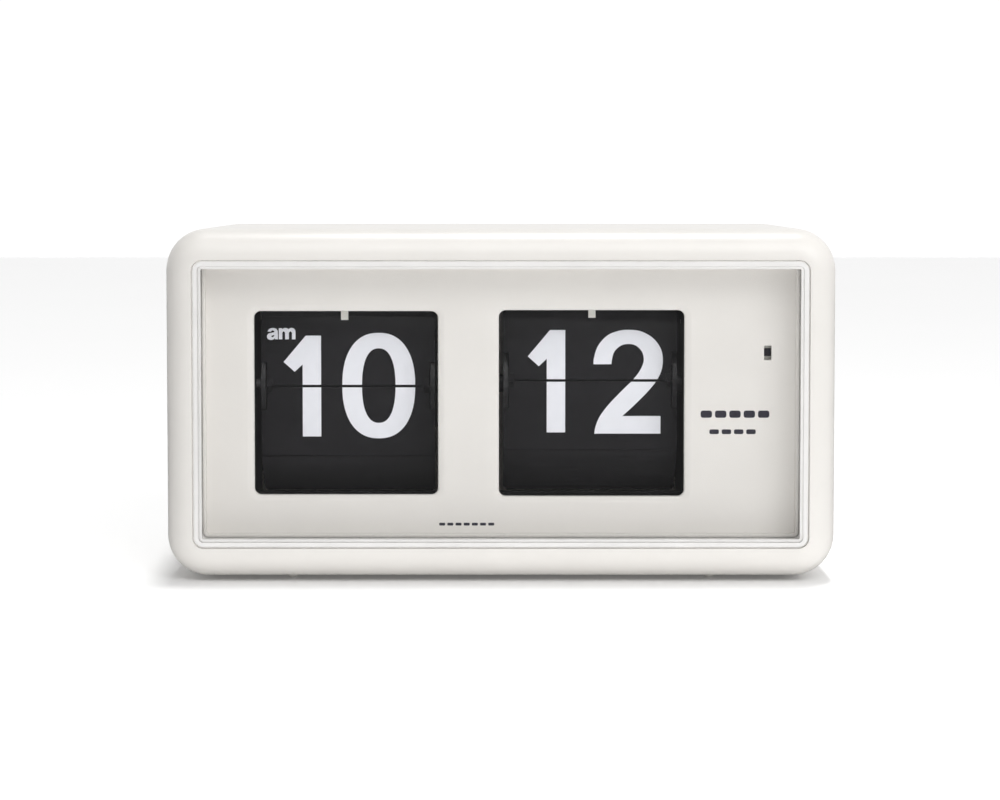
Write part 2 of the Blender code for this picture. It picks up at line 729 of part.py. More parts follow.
def leaf_outline(levels):
    """Half widths at heights, mirrored into a closed outline."""
    return levels + [(-half, z) for half, z in reversed(levels)]


def sheet(name, outline, front, thickness, material, parent):
    """A flat plate with an outline of (x, z) points, upright and facing -Y."""
    rings = [[(x, y, z) for x, z in outline] for y in (front, front + thickness)]
    return loft(name, rings, material, parent, smooth=False)


def upper_leaf(prefix, x, hinge_z, notch, material):
    """The leaf that falls next: it stands behind its hinge line, with a knuckle and a pin at each end."""
    axis = empty(prefix + "_leaf_hinge", x, hinge_y(hinge_z), hinge_z)
    wide = LEAF_HALF_WIDTH
    levels = [
        (LEAF_THROAT_HALF, GAP), (LEAF_THROAT_HALF, 0.0022), (LEAF_BASE_HALF, 0.0022),
        (LEAF_BASE_HALF, notch), (wide, notch), (wide, LEAF_LENGTH - LEAF_CORNER),
        (wide - LEAF_CORNER, LEAF_LENGTH),
    ]
    leaf = sheet(prefix + "_upper_leaf", leaf_outline(levels), LEAF_OFFSET, LEAF_THICKNESS, material, axis)
    for side in (-1, 1):
        inner = side * (LEAF_THROAT_HALF - 0.0004)
        outer = side * LEAF_BASE_HALF
        low = (min(inner, outer), -PIN_RADIUS, -PIN_RADIUS)
        high = (max(inner, outer), LEAF_OFFSET + LEAF_THICKNESS, 0.0024)
        join(leaf, box(prefix + " upper knuckle", low, high, parent=axis))
        low, high = sorted((outer - side * 0.0005, side * PIN_REACH))
        join(leaf, rod(prefix + " upper pin", PIN_RADIUS * 0.9, low, high, parent=axis, sides=12))
    return leaf


def lower_leaf(prefix, x, hinge_z, notch, material):
    """The leaf that fell last: it hangs in front of the fallen leaves, from pins lower on the drum."""
    place = empty(prefix + "_lower_leaf_place", x, hinge_y(hinge_z), hinge_z)
    wide = LEAF_HALF_WIDTH
    levels = [
        (LEAF_THROAT_HALF - 0.0008, -GAP), (LEAF_THROAT_HALF - 0.0008, -0.0028), (LEAF_BASE_HALF, -0.0028),
        (LEAF_BASE_HALF, -notch), (wide, -notch), (wide, LEAF_CORNER - LEAF_LENGTH),
        (wide - LEAF_CORNER, -LEAF_LENGTH),
    ]
    leaf = sheet(prefix + "_lower_leaf", leaf_outline(levels), LEAF_OFFSET, LEAF_THICKNESS, material, place)
    centre = (LEAF_OFFSET + LEAF_THICKNESS / 2, -0.0034)
    for side in (-1, 1):
        low, high = sorted((side * (LEAF_BASE_HALF - 0.0010), side * PIN_REACH))
        join(leaf, rod(prefix + " lower pin", PIN_RADIUS, low, high, centre, parent=place, sides=12))
    return leaf


def comb(sheets, inner_radius, outer_radius):
    """The section through a pack of leaves: one strip a leaf, joined along their hinge circle.

    Each sheet is (hinge angle, leaf direction, length), in degrees from the front over the top.
    """
    half = LEAF_THICKNESS / 2
    outline = []
    for hinge, direction, length in sheets:
        angle = math.radians(hinge)
        root = (-outer_radius * math.cos(angle), outer_radius * math.sin(angle))
        lean = math.radians(direction)
        along = (-math.cos(lean), math.sin(lean))
        across = (math.sin(lean), math.cos(lean))
        for reach, side in ((0.0, -1), (length, -1), (length, 1), (0.0, 1)):
            outline.append((root[0] + along[0] * reach + across[0] * half * side,
                            root[1] + along[1] * reach + across[1] * half * side))
    first = sheets[0][0]
    last = sheets[-1][0]
    steps = max(2, round(abs(last - first) / 12))
    for step in range(steps + 1):
        angle = math.radians(last + (first - last) * step / steps)
        outline.append((-inner_radius * math.cos(angle), inner_radius * math.sin(angle)))
    return outline


def leaf_pack(name, x, sheets, material):
    """Leaves that wait or have fallen, narrow between the flanges and wide outside them."""
    place = empty(name + "_place", x, DRUM_Y, DRUM_Z)
    outline = comb(sheets, GROOVE_INNER + 2 * GAP, HINGE_RADIUS)
    pack = prism(name, outline, -LEAF_HALF_WIDTH, LEAF_HALF_WIDTH, material, place)
    for side in (-1, 1):
        low, high = sorted((side * LEAF_BASE_HALF, side * (LEAF_HALF_WIDTH + 0.001)))
        ring = FLANGE_RADIUS + 2 * GAP
        cut(pack, rod(name + " flange room", ring, low, high, parent=place, sides=40))
    return pack


def waiting_sheets(first, pitch, last):
    """Leaves still to fall: upright at the front, leaning back over the top and drooping behind."""
    count = int((last - first) / pitch) + 1
    hinges = [first + pitch * index for index in range(count)]
    return [(hinge, 90 + (hinge - first) * 0.66, LEAF_LENGTH) for hinge in hinges]


def fallen_sheets(highest, step, count):
    """Leaves that have fallen: they hang straight down, each a step lower than the one in front of it."""
    sheets = []
    for index in range(count):
        hinge = -(25.0 + 8.0 * index)
        top = DRUM_Z + HINGE_RADIUS * math.sin(math.radians(hinge))
        sheets.append((hinge, -90, top - highest + step * index))
    return sheets[::-1]


def catch_finger(name, x, tip_z, hinge_z, material):
    """A springy tab under the upper rail that holds the top edge of the upper leaf."""
    rail_bottom = UPPER_RAIL_Z[0]
    back = hinge_y(hinge_z) - 0.0001
    low = (x - FINGER_HALF_WIDTH, back - 0.0006, tip_z)
    finger = box(name, low, (x + FINGER_HALF_WIDTH, back, rail_bottom - GAP), material)
    join(finger, box(name + " root", (x - 0.0030, RAIL_FRONT, rail_bottom - 0.0022),
                     (x + 0.0030, back - 0.0002, rail_bottom - GAP)))
    return finger


# Frame and movement

def frame_plate(name, x, outline, holes, material):
    """A flat plate across the clock with clearance holes for the arbors, as (place, radius)."""
    plate = prism(name, outline, x, x + PLATE_THICKNESS, material)
    for number, (place, radius) in enumerate(holes):
        cutter = rod(f"{name} hole {number + 1}", radius, x - 0.005, x + PLATE_THICKNESS + 0.005, place)
        cut(plate, cutter)
    return plate


def frame_plates(material):
    """Five plates, from the hour side to the movement side."""
    rod_hole = (TIE_ROD, ARBOR_RADIUS + GAP)
    drum_hole = (DRUM, ARBOR_RADIUS + GAP)
    hub_hole = (DRUM, HUB_RADIUS + GAP)
    thin = THIN_ARBOR_RADIUS + GAP
    foot = [(PLATE_FRONT, PLATE_BOTTOM), (0.0042, PLATE_BOTTOM)]
    head = [(-0.0060, PLATE_TOP), (PLATE_FRONT, PLATE_TOP)]
    short = foot + [(0.0042, 0.0740)] + head
    frame_plate("frame_plate_left", LEFT_PLATE_X, short, [rod_hole, drum_hole], material)
    middle = foot + [(0.0160, 0.0450), (0.0160, 0.0600)] + head
    made = frame_plate("frame_plate_middle", MIDDLE_PLATE_X, middle, [rod_hole, drum_hole], material)
    place = TRANSFER_PINION.place
    join(made, rod("bearing boss", 0.0026, MIDDLE_PLATE_X - 0.0025, MIDDLE_PLATE_X + 0.0035, place))
    cut(made, rod("bearing hole", thin, MIDDLE_PLATE_X - 0.005, MIDDLE_PLATE_X + 0.006, place))
    deep = foot + [(0.0370, 0.0500), (0.0370, 0.0700), (0.0130, PLATE_TOP), (PLATE_FRONT, PLATE_TOP)]
    geared = [rod_hole, (REDUCTION_PINION.place, thin), (IDLER_WHEEL.place, thin), (SETTING_GEAR.place, thin)]
    frame_plate("frame_plate_right", RIGHT_PLATE_X, deep, geared + [hub_hole], material)
    turning = [(INDICATOR, thin), (ROTOR_PINION.place, thin)]
    frame_plate("movement_plate_inner", INNER_PLATE_X, deep, geared + turning + [drum_hole], material)
    frame_plate("movement_plate_outer", OUTER_PLATE_X, deep,
                turning + [rod_hole, (REDUCTION_PINION.place, thin), (SETTING_GEAR.place, thin)], material)


def rails(material, screw_material):
    """Two bars across the front of the plates, screwed to the dial plate's posts."""
    for name, (low, high) in (("upper_rail", UPPER_RAIL_Z), ("lower_rail", LOWER_RAIL_Z)):
        right = OUTER_PLATE_X + PLATE_THICKNESS
        bar = box(name, (LEFT_PLATE_X, RAIL_FRONT, low), (right, RAIL_BACK, high), material)
        middle = (low + high) / 2
        for side, word in ((-1, "left"), (1, "right")):
            x = side * RAIL_SCREW_X
            hole = rod(name + " hole", SCREW_RADIUS + GAP, RAIL_FRONT - 0.001, RAIL_BACK + 0.001, (x, middle),
                       axis="Y")
            cut(bar, hole)
            screw(f"{name}_screw_{word}", x, middle, RAIL_BACK + GAP + 0.0015, 0.0015, 0.0075, screw_material)


def pinion_arbor(name, gear, span, teeth_span, material):
    """A thin arbor on its own axis, with its pinion cut on it."""
    axis = empty(name + "_axis", 0.0, *gear.place)
    made = rod(name, THIN_ARBOR_RADIUS, *span, material=material, parent=axis)
    join(made, gear.body(name + " pinion", *teeth_span, parent=axis))
    return axis


def gear_train(steel, brass, nylon):
    """The transfer arbor, the reduction arbor and the indicator arbor."""
    bore = THIN_ARBOR_RADIUS + GAP / 2
    right = OUTER_PLATE_X + PLATE_THICKNESS
    axis = pinion_arbor("transfer_arbor", TRANSFER_PINION, TRANSFER_ARBOR_X, TRANSFER_PINION_X, steel)
    wheel_on_axis("transfer_wheel", TRANSFER_WHEEL, *TRANSFER_WHEEL_X, bore, brass, axis)
    span = (RIGHT_PLATE_X, right)
    axis = pinion_arbor("reduction_arbor", REDUCTION_PINION, span, REDUCTION_PINION_X, steel)
    wheel_on_axis("reduction_wheel", REDUCTION_WHEEL, *REDUCTION_WHEEL_X, bore, nylon, axis)
    span = (INNER_PLATE_X, right)
    axis = pinion_arbor("indicator_arbor", INDICATOR_PINION, span, INDICATOR_PINION_X, steel)
    wheel_on_axis("indicator_wheel", INDICATOR_WHEEL, *INDICATOR_WHEEL_X, bore, nylon, axis)
    indicator_drum(nylon, axis)


def indicator_drum(material, axis):
    """A small cup whose rim passes behind the slot in the dial."""
    bore = THIN_ARBOR_RADIUS + GAP / 2
    start, end = INDICATOR_DRUM_X
    web = start + 0.0012
    outer = INDICATOR_DRUM_RADIUS
    inner = outer - 0.0009
    rim = [(start, bore), (start, outer), (end, outer), (end, inner), (web, inner), (web, bore)]
    turned("indicator_drum", rim, material, axis)


def motor(steel, copper, magnet, board_green):
    """A can motor on the inner movement plate: can, coil and a magnet rotor with its pinion."""
    holder = empty("motor_place", 0.0, *ROTOR_PINION.place)
    hole = THIN_ARBOR_RADIUS + GAP
    neck = 0.0036
    inner, outer = 0.0092, 0.0100
    neck_start, can_start, can_end = 0.0672, 0.0708, 0.0796
    can = [
        (neck_start, hole), (0.0720, hole), (0.0720, inner), (0.0788, inner), (0.0788, hole), (can_end, hole),
        (can_end, outer), (can_start, outer), (can_start, neck), (neck_start, neck),
    ]
    turned("motor_can", can, steel, holder, sides=24)
    coil = [(0.0724, 0.0063), (0.0724, 0.0088), (0.0784, 0.0088), (0.0784, 0.0063)]
    turned("motor_coil", coil, copper, holder, sides=24)
    span = (INNER_PLATE_X, OUTER_PLATE_X + PLATE_THICKNESS)
    axis = pinion_arbor("motor_rotor", ROTOR_PINION, span, ROTOR_PINION_X, magnet)
    join(bpy.data.objects["motor_rotor"], rod("rotor magnet", 0.0055, 0.0726, 0.0782, parent=axis, sides=32))
    box("circuit_board", (0.0672, 0.0095, 0.0780), (0.0896, 0.0107, 0.0940), board_green)


def setting_wheels(nylon):
    """The idler and the thumbwheel that turn the minute drum by hand."""
    axis = empty("idler_axis", 0.0, *IDLER_WHEEL.place)
    idler = IDLER_WHEEL.body("idler_wheel", *MINUTE_WHEEL_X, nylon, axis)
    right = INNER_PLATE_X + PLATE_THICKNESS
    join(idler, rod("idler arbor", THIN_ARBOR_RADIUS, RIGHT_PLATE_X, right, parent=axis))
    axis = empty("setting_axis", 0.0, *SETTING_GEAR.place)
    rim = []
    for index in range(2 * THUMBWHEEL_RIDGES):
        angle = math.pi * index / THUMBWHEEL_RIDGES
        radius = THUMBWHEEL_RADIUS - (0.0006 if index % 2 else 0.0)
        rim.append((radius * math.cos(angle), radius * math.sin(angle)))
    wheel = prism("setting_wheel", rim, *THUMBWHEEL_X, nylon, axis)
    join(wheel, SETTING_GEAR.body("setting gear", *MINUTE_WHEEL_X, parent=axis),
         rod("setting arbor", THIN_ARBOR_RADIUS, RIGHT_PLATE_X, OUTER_PLATE_X + PLATE_THICKNESS, parent=axis))


def clear_scene():
    for old in list(bpy.data.objects):
        bpy.data.objects.remove(old, do_unlink=True)


def main():
    clear_scene()
    case_cream = plastic("case_cream", CREAM, 0.35)
    dial_cream = plastic("dial_cream", CREAM, 0.55)
    clear = plastic("clear_plastic", (0.95, 0.96, 0.96), 0.05)
    clear.node_tree.nodes["Principled BSDF"].inputs["Transmission Weight"].default_value = 1.0
    leaf_black = plastic("leaf_black", LEAF_BLACK, 0.5)
    drum_grey = plastic("drum_grey", GREY, 0.5)
    nylon = plastic("nylon", NYLON, 0.5)
    steel = metal("steel", STEEL, 0.3)
    zinc = metal("zinc_plate", STEEL, 0.45)
    blackened = metal("blackened_steel", BLACKENED, 0.5)
    brass = metal("brass", BRASS, 0.3)
    copper = metal("copper_winding", (0.70, 0.36, 0.20), 0.4)
    magnet = metal("magnet", (0.18, 0.18, 0.19), 0.5)
    green = plastic("board_green", (0.05, 0.22, 0.10), 0.4)
    wrap = plastic("cell_wrap", (0.10, 0.13, 0.30), 0.35)

    case_shell(case_cream)
    for word, side in (("left", -1), ("right", 1)):
        foot("front_foot_" + word, side, -FOOT_Y, case_cream)
        foot("rear_foot_" + word, side, FOOT_Y, case_cream)
    front_lens(clear)
    dial_plate(dial_cream)
    back_cover(case_cream)
    for word, side in (("left", -1), ("right", 1)):
        for height, level in (("lower", -1), ("upper", 1)):
            z = MIDDLE_Z + level * SCREW_Z_OFFSET
            screw(f"cover_screw_{height}_{word}", side * SCREW_X, z, COVER_BACK, 0.0009, SCREW_LENGTH, steel)

    battery_tray(case_cream)
    d_cell(wrap)
    battery_spring(steel)
    positive_contact(brass)
    battery_door(case_cream)

    frame_plates(blackened)
    rails(blackened, steel)
    rod("tie_rod", ARBOR_RADIUS, LEFT_PLATE_X, OUTER_PLATE_X + PLATE_THICKNESS, TIE_ROD, steel)
    rod("drum_arbor", ARBOR_RADIUS, LEFT_PLATE_X, INNER_PLATE_X + PLATE_THICKNESS, DRUM, steel)
    hour_drum(drum_grey, brass)
    minute_drum(drum_grey, brass)

    for name, x, hinge_z, notch in (("hour", HOUR_X, HOUR_HINGE_Z, HOUR_NOTCH),
                                    ("minute", MINUTE_X, MINUTE_HINGE_Z, MINUTE_NOTCH)):
        upper_leaf(name, x, hinge_z, notch, leaf_black)
        lower_leaf(name, x, hinge_z, notch, leaf_black)
    leaf_pack("hour_waiting_leaves", HOUR_X, waiting_sheets(26, 15, 190), leaf_black)
    leaf_pack("hour_fallen_leaves", HOUR_X, fallen_sheets(0.0340, 0.0015, 7), leaf_black)
    leaf_pack("minute_waiting_leaves", MINUTE_X, waiting_sheets(26, 6, 230), leaf_black)
    leaf_pack("minute_fallen_leaves", MINUTE_X, fallen_sheets(0.0372, 0.00175, 8), leaf_black)
    catch_finger("hour_catch_finger", -0.0502, 0.0813, HOUR_HINGE_Z, nylon)
    catch_finger("minute_catch_finger", 0.0293, 0.0820, MINUTE_HINGE_Z, nylon)

    gear_train(steel, brass, nylon)
    motor(zinc, copper, magnet, green)
    setting_wheels(nylon)


main()
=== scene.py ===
"""Looks for the flip number clock: finer meshes, materials, printed numbers, studio light and camera.

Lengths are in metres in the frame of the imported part: +Z up, the dial facing -Y, and X to the right.
Lists of points in millimetres are scaled by MM where they become geometry.
"""

import json
import math

import bmesh
import bpy
from mathutils import Matrix, Vector

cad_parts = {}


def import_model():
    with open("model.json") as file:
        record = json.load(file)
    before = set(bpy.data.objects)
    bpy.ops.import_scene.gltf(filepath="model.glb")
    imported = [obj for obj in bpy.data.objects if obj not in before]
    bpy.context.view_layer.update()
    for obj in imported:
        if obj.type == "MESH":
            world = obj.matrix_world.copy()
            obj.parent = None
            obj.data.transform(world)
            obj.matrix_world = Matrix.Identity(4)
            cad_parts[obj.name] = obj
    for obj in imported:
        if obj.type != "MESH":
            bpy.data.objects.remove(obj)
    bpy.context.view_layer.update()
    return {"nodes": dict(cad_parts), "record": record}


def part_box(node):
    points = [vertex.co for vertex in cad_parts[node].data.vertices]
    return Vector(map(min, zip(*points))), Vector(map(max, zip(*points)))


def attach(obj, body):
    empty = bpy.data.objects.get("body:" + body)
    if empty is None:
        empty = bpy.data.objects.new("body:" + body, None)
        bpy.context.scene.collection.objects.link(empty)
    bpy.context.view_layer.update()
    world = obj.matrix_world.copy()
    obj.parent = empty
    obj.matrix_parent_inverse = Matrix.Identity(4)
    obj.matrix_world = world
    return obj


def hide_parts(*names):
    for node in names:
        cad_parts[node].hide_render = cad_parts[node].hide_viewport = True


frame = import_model()

MM = 0.001


# Nodes

def new_material(name):
    """A material with its shader and its output, already joined."""
    material = bpy.data.materials.new(name)
    material.use_nodes = True
    nodes = material.node_tree.nodes
    nodes.clear()
    output = nodes.new("ShaderNodeOutputMaterial")
    shader = nodes.new("ShaderNodeBsdfPrincipled")
    link(material, shader.outputs["BSDF"], output.inputs["Surface"])
    return material, shader, output


def link(owner, source, target):
    """Joins two sockets in the tree of a material or of the world."""
    owner.node_tree.links.new(source, target)


def coordinates(material, stretch=(1.0, 1.0, 1.0)):
    """Object coordinates in millimetres, stretched where a grain has a direction."""
    nodes = material.node_tree.nodes
    source = nodes.new("ShaderNodeTexCoord")
    scale = nodes.new("ShaderNodeMapping")
    scale.inputs["Scale"].default_value = [value / MM for value in stretch]
    link(material, source.outputs["Object"], scale.inputs["Vector"])
    return scale.outputs["Vector"]


def noise(material, vector, scale, detail=3.0, roughness=0.6):
    """Noise with this many waves per millimetre."""
    node = material.node_tree.nodes.new("ShaderNodeTexNoise")
    node.inputs["Scale"].default_value = scale
    node.inputs["Detail"].default_value = detail
    node.inputs["Roughness"].default_value = roughness
    link(material, vector, node.inputs["Vector"])
    return node.outputs["Fac"]


def spread(owner, value, low, high, start=0.3, end=0.7):
    """Maps a value between start and end, which suit noise, to a level between low and high."""
    node = owner.node_tree.nodes.new("ShaderNodeMapRange")
    node.inputs["From Min"].default_value = start
    node.inputs["From Max"].default_value = end
    node.inputs["To Min"].default_value = low
    node.inputs["To Max"].default_value = high
    link(owner, value, node.inputs["Value"])
    return node.outputs["Result"]


def ramp(material, value, dark, light, start=0.3, end=0.7):
    """A colour that goes from dark to light as the value goes from start to end."""
    node = material.node_tree.nodes.new("ShaderNodeValToRGB")
    for element, place, colour in zip(node.color_ramp.elements, (start, end), (dark, light)):
        element.position = place
        element.color = (*colour, 1.0)
    link(material, value, node.inputs["Fac"])
    return node.outputs["Color"]


def bump(material, shader, height, strength, distance):
    node = material.node_tree.nodes.new("ShaderNodeBump")
    node.inputs["Strength"].default_value = strength
    node.inputs["Distance"].default_value = distance
    link(material, height, node.inputs["Height"])
    link(material, node.outputs["Normal"], shader.inputs["Normal"])


def calculate(owner, operation, first, second):
    node = owner.node_tree.nodes.new("ShaderNodeMath")
    node.operation = operation
    link(owner, first, node.inputs[0])
    link(owner, second, node.inputs[1])
    return node.outputs[0]


def mix_shaders(owner, factor, first, second, output):
    """Shows the first shader where the factor is 0 and the second where it is 1."""
    node = owner.node_tree.nodes.new("ShaderNodeMixShader")
    link(owner, factor, node.inputs["Fac"])
    link(owner, first, node.inputs[1])
    link(owner, second, node.inputs[2])
    link(owner, node.outputs["Shader"], output.inputs["Surface"])


def shade(colour, factor):
    return tuple(min(1.0, channel * factor) for channel in colour)


# Materials

def moulded(name, colour, roughness=0.4, grain=1.6, depth=0.02, tone=0.02, sheen=0.0, ior=1.5):
    """Moulded plastic: a fine spark-eroded grain, faint flow marks and slightly uneven gloss."""
    material, shader, _ = new_material(name)
    vector = coordinates(material)
    flow = noise(material, vector, scale=0.035, detail=4.0)
    tint = ramp(material, flow, shade(colour, 1 - tone), shade(colour, 1 + tone))
    link(material, tint, shader.inputs["Base Color"])
    gloss = noise(material, vector, scale=0.22)
    link(material, spread(material, gloss, roughness - 0.05, roughness + 0.05), shader.inputs["Roughness"])
    sparks = noise(material, vector, scale=grain, detail=2.0)
    bump(material, shader, sparks, strength=0.35, distance=depth * MM)
    shader.inputs["IOR"].default_value = ior
    shader.inputs["Coat Weight"].default_value = sheen
    shader.inputs["Coat Roughness"].default_value = 0.25
    return material


def brushed(name, colour, roughness=0.3, stretch=(0.05, 1.0, 1.0)):
    """Metal with fine lines along one direction and a cloudy surface."""
    material, shader, _ = new_material(name)
    lines = noise(material, coordinates(material, stretch), scale=3.0, detail=4.0)
    cloud = noise(material, coordinates(material), scale=0.12, detail=4.0)
    tint = ramp(material, cloud, shade(colour, 0.86), shade(colour, 1.06))
    link(material, tint, shader.inputs["Base Color"])
    link(material, spread(material, lines, roughness - 0.08, roughness + 0.10), shader.inputs["Roughness"])
    bump(material, shader, lines, strength=0.3, distance=0.01 * MM)
    shader.inputs["Metallic"].default_value = 1.0
    return material


def let_lamps_through(material, shader, output, share):
    """Shadow and diffuse rays pass this much of their light straight through."""
    nodes = material.node_tree.nodes
    clear = nodes.new("ShaderNodeBsdfTransparent")
    clear.inputs["Color"].default_value = (share, share, share, 1.0)
    path = nodes.new("ShaderNodeLightPath")
    either = calculate(material, "MAXIMUM", path.outputs["Is Shadow Ray"], path.outputs["Is Diffuse Ray"])
    mix_shaders(material, either, shader.outputs["BSDF"], clear.outputs["BSDF"], output)


def acrylic(name):
    """Clear acrylic that lets the lamps through to what is behind it."""
    material, shader, output = new_material(name)
    shader.inputs["Base Color"].default_value = (1.0, 1.0, 1.0, 1.0)
    shader.inputs["Transmission Weight"].default_value = 1.0
    shader.inputs["IOR"].default_value = 1.49
    haze = noise(material, coordinates(material), scale=0.05)
    link(material, spread(material, haze, 0.005, 0.02), shader.inputs["Roughness"])
    let_lamps_through(material, shader, output, 0.995)
    return material


def acrylic_edge(name):
    """The acrylic's rim and walls, painted a milky white that stands in for the light they carry from the
    front: painted light on clear acrylic.
    """
    material, shader, output = new_material(name)
    cloud = noise(material, coordinates(material), scale=0.08)
    # Painted light: a diffuse milky colour on clear acrylic, standing in for the light piped along the walls.
    tint = ramp(material, cloud, (0.80, 0.79, 0.78), (0.84, 0.83, 0.82))
    link(material, tint, shader.inputs["Base Color"])
    link(material, spread(material, cloud, 0.10, 0.18), shader.inputs["Roughness"])
    let_lamps_through(material, shader, output, 0.98)
    return material


def printed(name, colour, roughness=0.5):
    """Screen ink: slightly uneven cover with a faint mesh in its surface."""
    material, shader, _ = new_material(name)
    vector = coordinates(material)
    cover = noise(material, vector, scale=0.35, detail=4.0, roughness=0.65)
    tint = ramp(material, cover, shade(colour, 0.965), shade(colour, 1.02))
    link(material, tint, shader.inputs["Base Color"])
    link(material, spread(material, cover, roughness - 0.06, roughness + 0.06), shader.inputs["Roughness"])
    mesh = noise(material, vector, scale=2.4, detail=2.0)
    bump(material, shader, mesh, strength=0.25, distance=0.01 * MM)
    return material


def winding(name, colour):
    """Enamelled wire wound round the motor's axis, with painted shade in the grooves between turns."""
    material, shader, _ = new_material(name)
    turns = material.node_tree.nodes.new("ShaderNodeTexWave")
    turns.wave_type = "BANDS"
    turns.bands_direction = "X"
    turns.inputs["Scale"].default_value = 1.2
    turns.inputs["Distortion"].default_value = 0.3
    link(material, coordinates(material), turns.inputs["Vector"])
    wires_and_groove_shade = turns.outputs["Fac"]
    # Painted shade: the colour darkens to a third in the grooves between the turns.
    tint = ramp(material, wires_and_groove_shade, shade(colour, 0.35), colour, 0.0, 1.0)
    link(material, tint, shader.inputs["Base Color"])
    bump(material, shader, wires_and_groove_shade, strength=0.6, distance=0.1 * MM)
    shader.inputs["Metallic"].default_value = 0.6
    shader.inputs["Roughness"].default_value = 0.35
    return material


CREAM = (0.795, 0.772, 0.738)
MATERIALS = {
    "case_cream": moulded("case_cream", CREAM, 0.34, sheen=0.15),
    "dial_cream": moulded("dial_cream", CREAM, 0.52, grain=2.2),
    "clear_plastic": acrylic("clear_plastic"),
    "leaf_black": moulded("leaf_black", (0.011, 0.010, 0.0125), 0.42, grain=1.1, depth=0.03, tone=0.15,
                          ior=1.38),
    "drum_grey": moulded("drum_grey", (0.022, 0.022, 0.024), 0.45, tone=0.06),
    "nylon": moulded("nylon", (0.83, 0.82, 0.76), 0.5),
    "steel": brushed("steel", (0.74, 0.74, 0.75), 0.42, (1.0, 0.05, 1.0)),
    "blackened_steel": brushed("blackened_steel", (0.03, 0.03, 0.032), 0.5, (1.0, 1.0, 0.05)),
    "zinc_plate": brushed("zinc_plate", (0.60, 0.60, 0.62), 0.4, (1.0, 1.0, 0.05)),
    "brass": brushed("brass", (0.78, 0.60, 0.30), 0.28, (1.0, 1.0, 0.1)),
    "copper_winding": winding("copper_winding", (0.72, 0.36, 0.18)),
    "magnet": brushed("magnet", (0.16, 0.16, 0.17), 0.5),
    "board_green": moulded("board_green", (0.05, 0.22, 0.10), 0.35, tone=0.12),
    "cell_wrap": moulded("cell_wrap", (0.10, 0.13, 0.30), 0.32, grain=0.8, depth=0.01),
    "ink_white": printed("ink_white", (0.86, 0.87, 0.92)),
    "ink_dark": printed("ink_dark", (0.022, 0.02, 0.035)),
    "frosted": moulded("frosted", (0.62, 0.60, 0.57), 0.6),
    "painted_light_edge": acrylic_edge("painted_light_edge"),
}


# Making meshes

def new_object(name, data):
    """Turns a bmesh into an object, with its faces pointing outwards."""
    bmesh.ops.recalc_face_normals(data, faces=data.faces)
    mesh = bpy.data.meshes.new(name)
    data.to_mesh(mesh)
    data.free()
    made = bpy.data.objects.new(name, mesh)
    bpy.context.scene.collection.objects.link(made)
    return made


def soften(piece, width, angle):
    """Rounds the edges that turn by more than the angle, in degrees."""
    edges = piece.modifiers.new("Edges", "BEVEL")
    edges.width = width
    edges.segments = 2
    edges.limit_method = "ANGLE"
    edges.angle_limit = math.radians(angle)


def finish(name, data, material, body, smooth=35.0, bevel=0.0):
    """Turns a bmesh into a piece that rides on a body. Smooth is its smoothing angle, or 0 for flat faces."""
    piece = new_object(name, data)
    piece.data.materials.append(MATERIALS[material])
    if smooth:
        piece.data.shade_smooth()
        piece.data.set_sharp_from_angle(angle=math.radians(smooth))
    if bevel:
        soften(piece, bevel, 40)
        even = piece.modifiers.new("Even", "WEIGHTED_NORMAL")
        even.keep_sharp = True
    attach(piece, body)
    return piece


def rounded_ring(half_width, half_height, radius, y, middle=(0.0, 0.0), steps=10):
    """Points round a rounded rectangle in the plane at y, as many whatever its size."""
    ring = []
    for corner, (side, level) in enumerate(((1, 1), (-1, 1), (-1, -1), (1, -1))):
        for step in range(steps + 1):
            angle = math.radians(90 * (corner + step / steps))
            x = side * (half_width - radius) + radius * math.cos(angle)
            z = level * (half_height - radius) + radius * math.sin(angle)
            ring.append((middle[0] + x, y, middle[1] + z))
    return ring


def circle(radius, centre, along, axis="Y", sides=32):
    """Points round an axis along Y or X, with the centre given in the other two directions."""
    ring = []
    for index in range(sides):
        angle = 2 * math.pi * index / sides
        first = centre[0] + radius * math.cos(angle)
        second = centre[1] + radius * math.sin(angle)
        ring.append((along, first, second) if axis == "X" else (first, along, second))
    return ring


def between(start, end, share):
    """Values this share of the way from one list to another."""
    return [a + (b - a) * share for a, b in zip(start, end)]


def skin(data, rings, closed=False):
    """Skins rings of equal length into a bmesh: capped, or closed into a loop."""
    loops = [[data.verts.new(point) for point in ring] for ring in rings]
    pairs = list(zip(loops, loops[1:]))
    if closed:
        pairs.append((loops[-1], loops[0]))
    else:
        data.faces.new(loops[0])
        data.faces.new(loops[-1])
    for here, there in pairs:
        count = len(here)
        for index in range(count):
            after = (index + 1) % count
            data.faces.new((here[index], here[after], there[after], there[index]))


def loft(rings, closed=False):
    data = bmesh.new()
    skin(data, rings, closed)
    return data


def add_box(data, low, high):
    size = [b - a for a, b in zip(low, high)]
    spot = Matrix.Translation(between(low, high, 0.5)) @ Matrix.Diagonal((*size, 1.0))
    bmesh.ops.create_cube(data, size=1.0, matrix=spot)


def box_data(low, high):
    data = bmesh.new()
    add_box(data, low, high)
    return data


def rod_data(radius, start, end, centre):
    """A rod along Y."""
    return loft([circle(radius, centre, along) for along in (start, end)])


def merge(parts):
    """Joins several bmeshes into one, and frees them."""
    data = bmesh.new()
    for part in parts:
        made = bpy.data.meshes.new("part")
        part.to_mesh(made)
        part.free()
        data.from_mesh(made)
        bpy.data.meshes.remove(made)
    return data


def place(data, x, y, z, turn=0.0):
    """Turns a bmesh about X at the origin, then moves it."""
    data.transform(Matrix.Translation((x, y, z)) @ Matrix.Rotation(turn, 4, "X"))
    return data


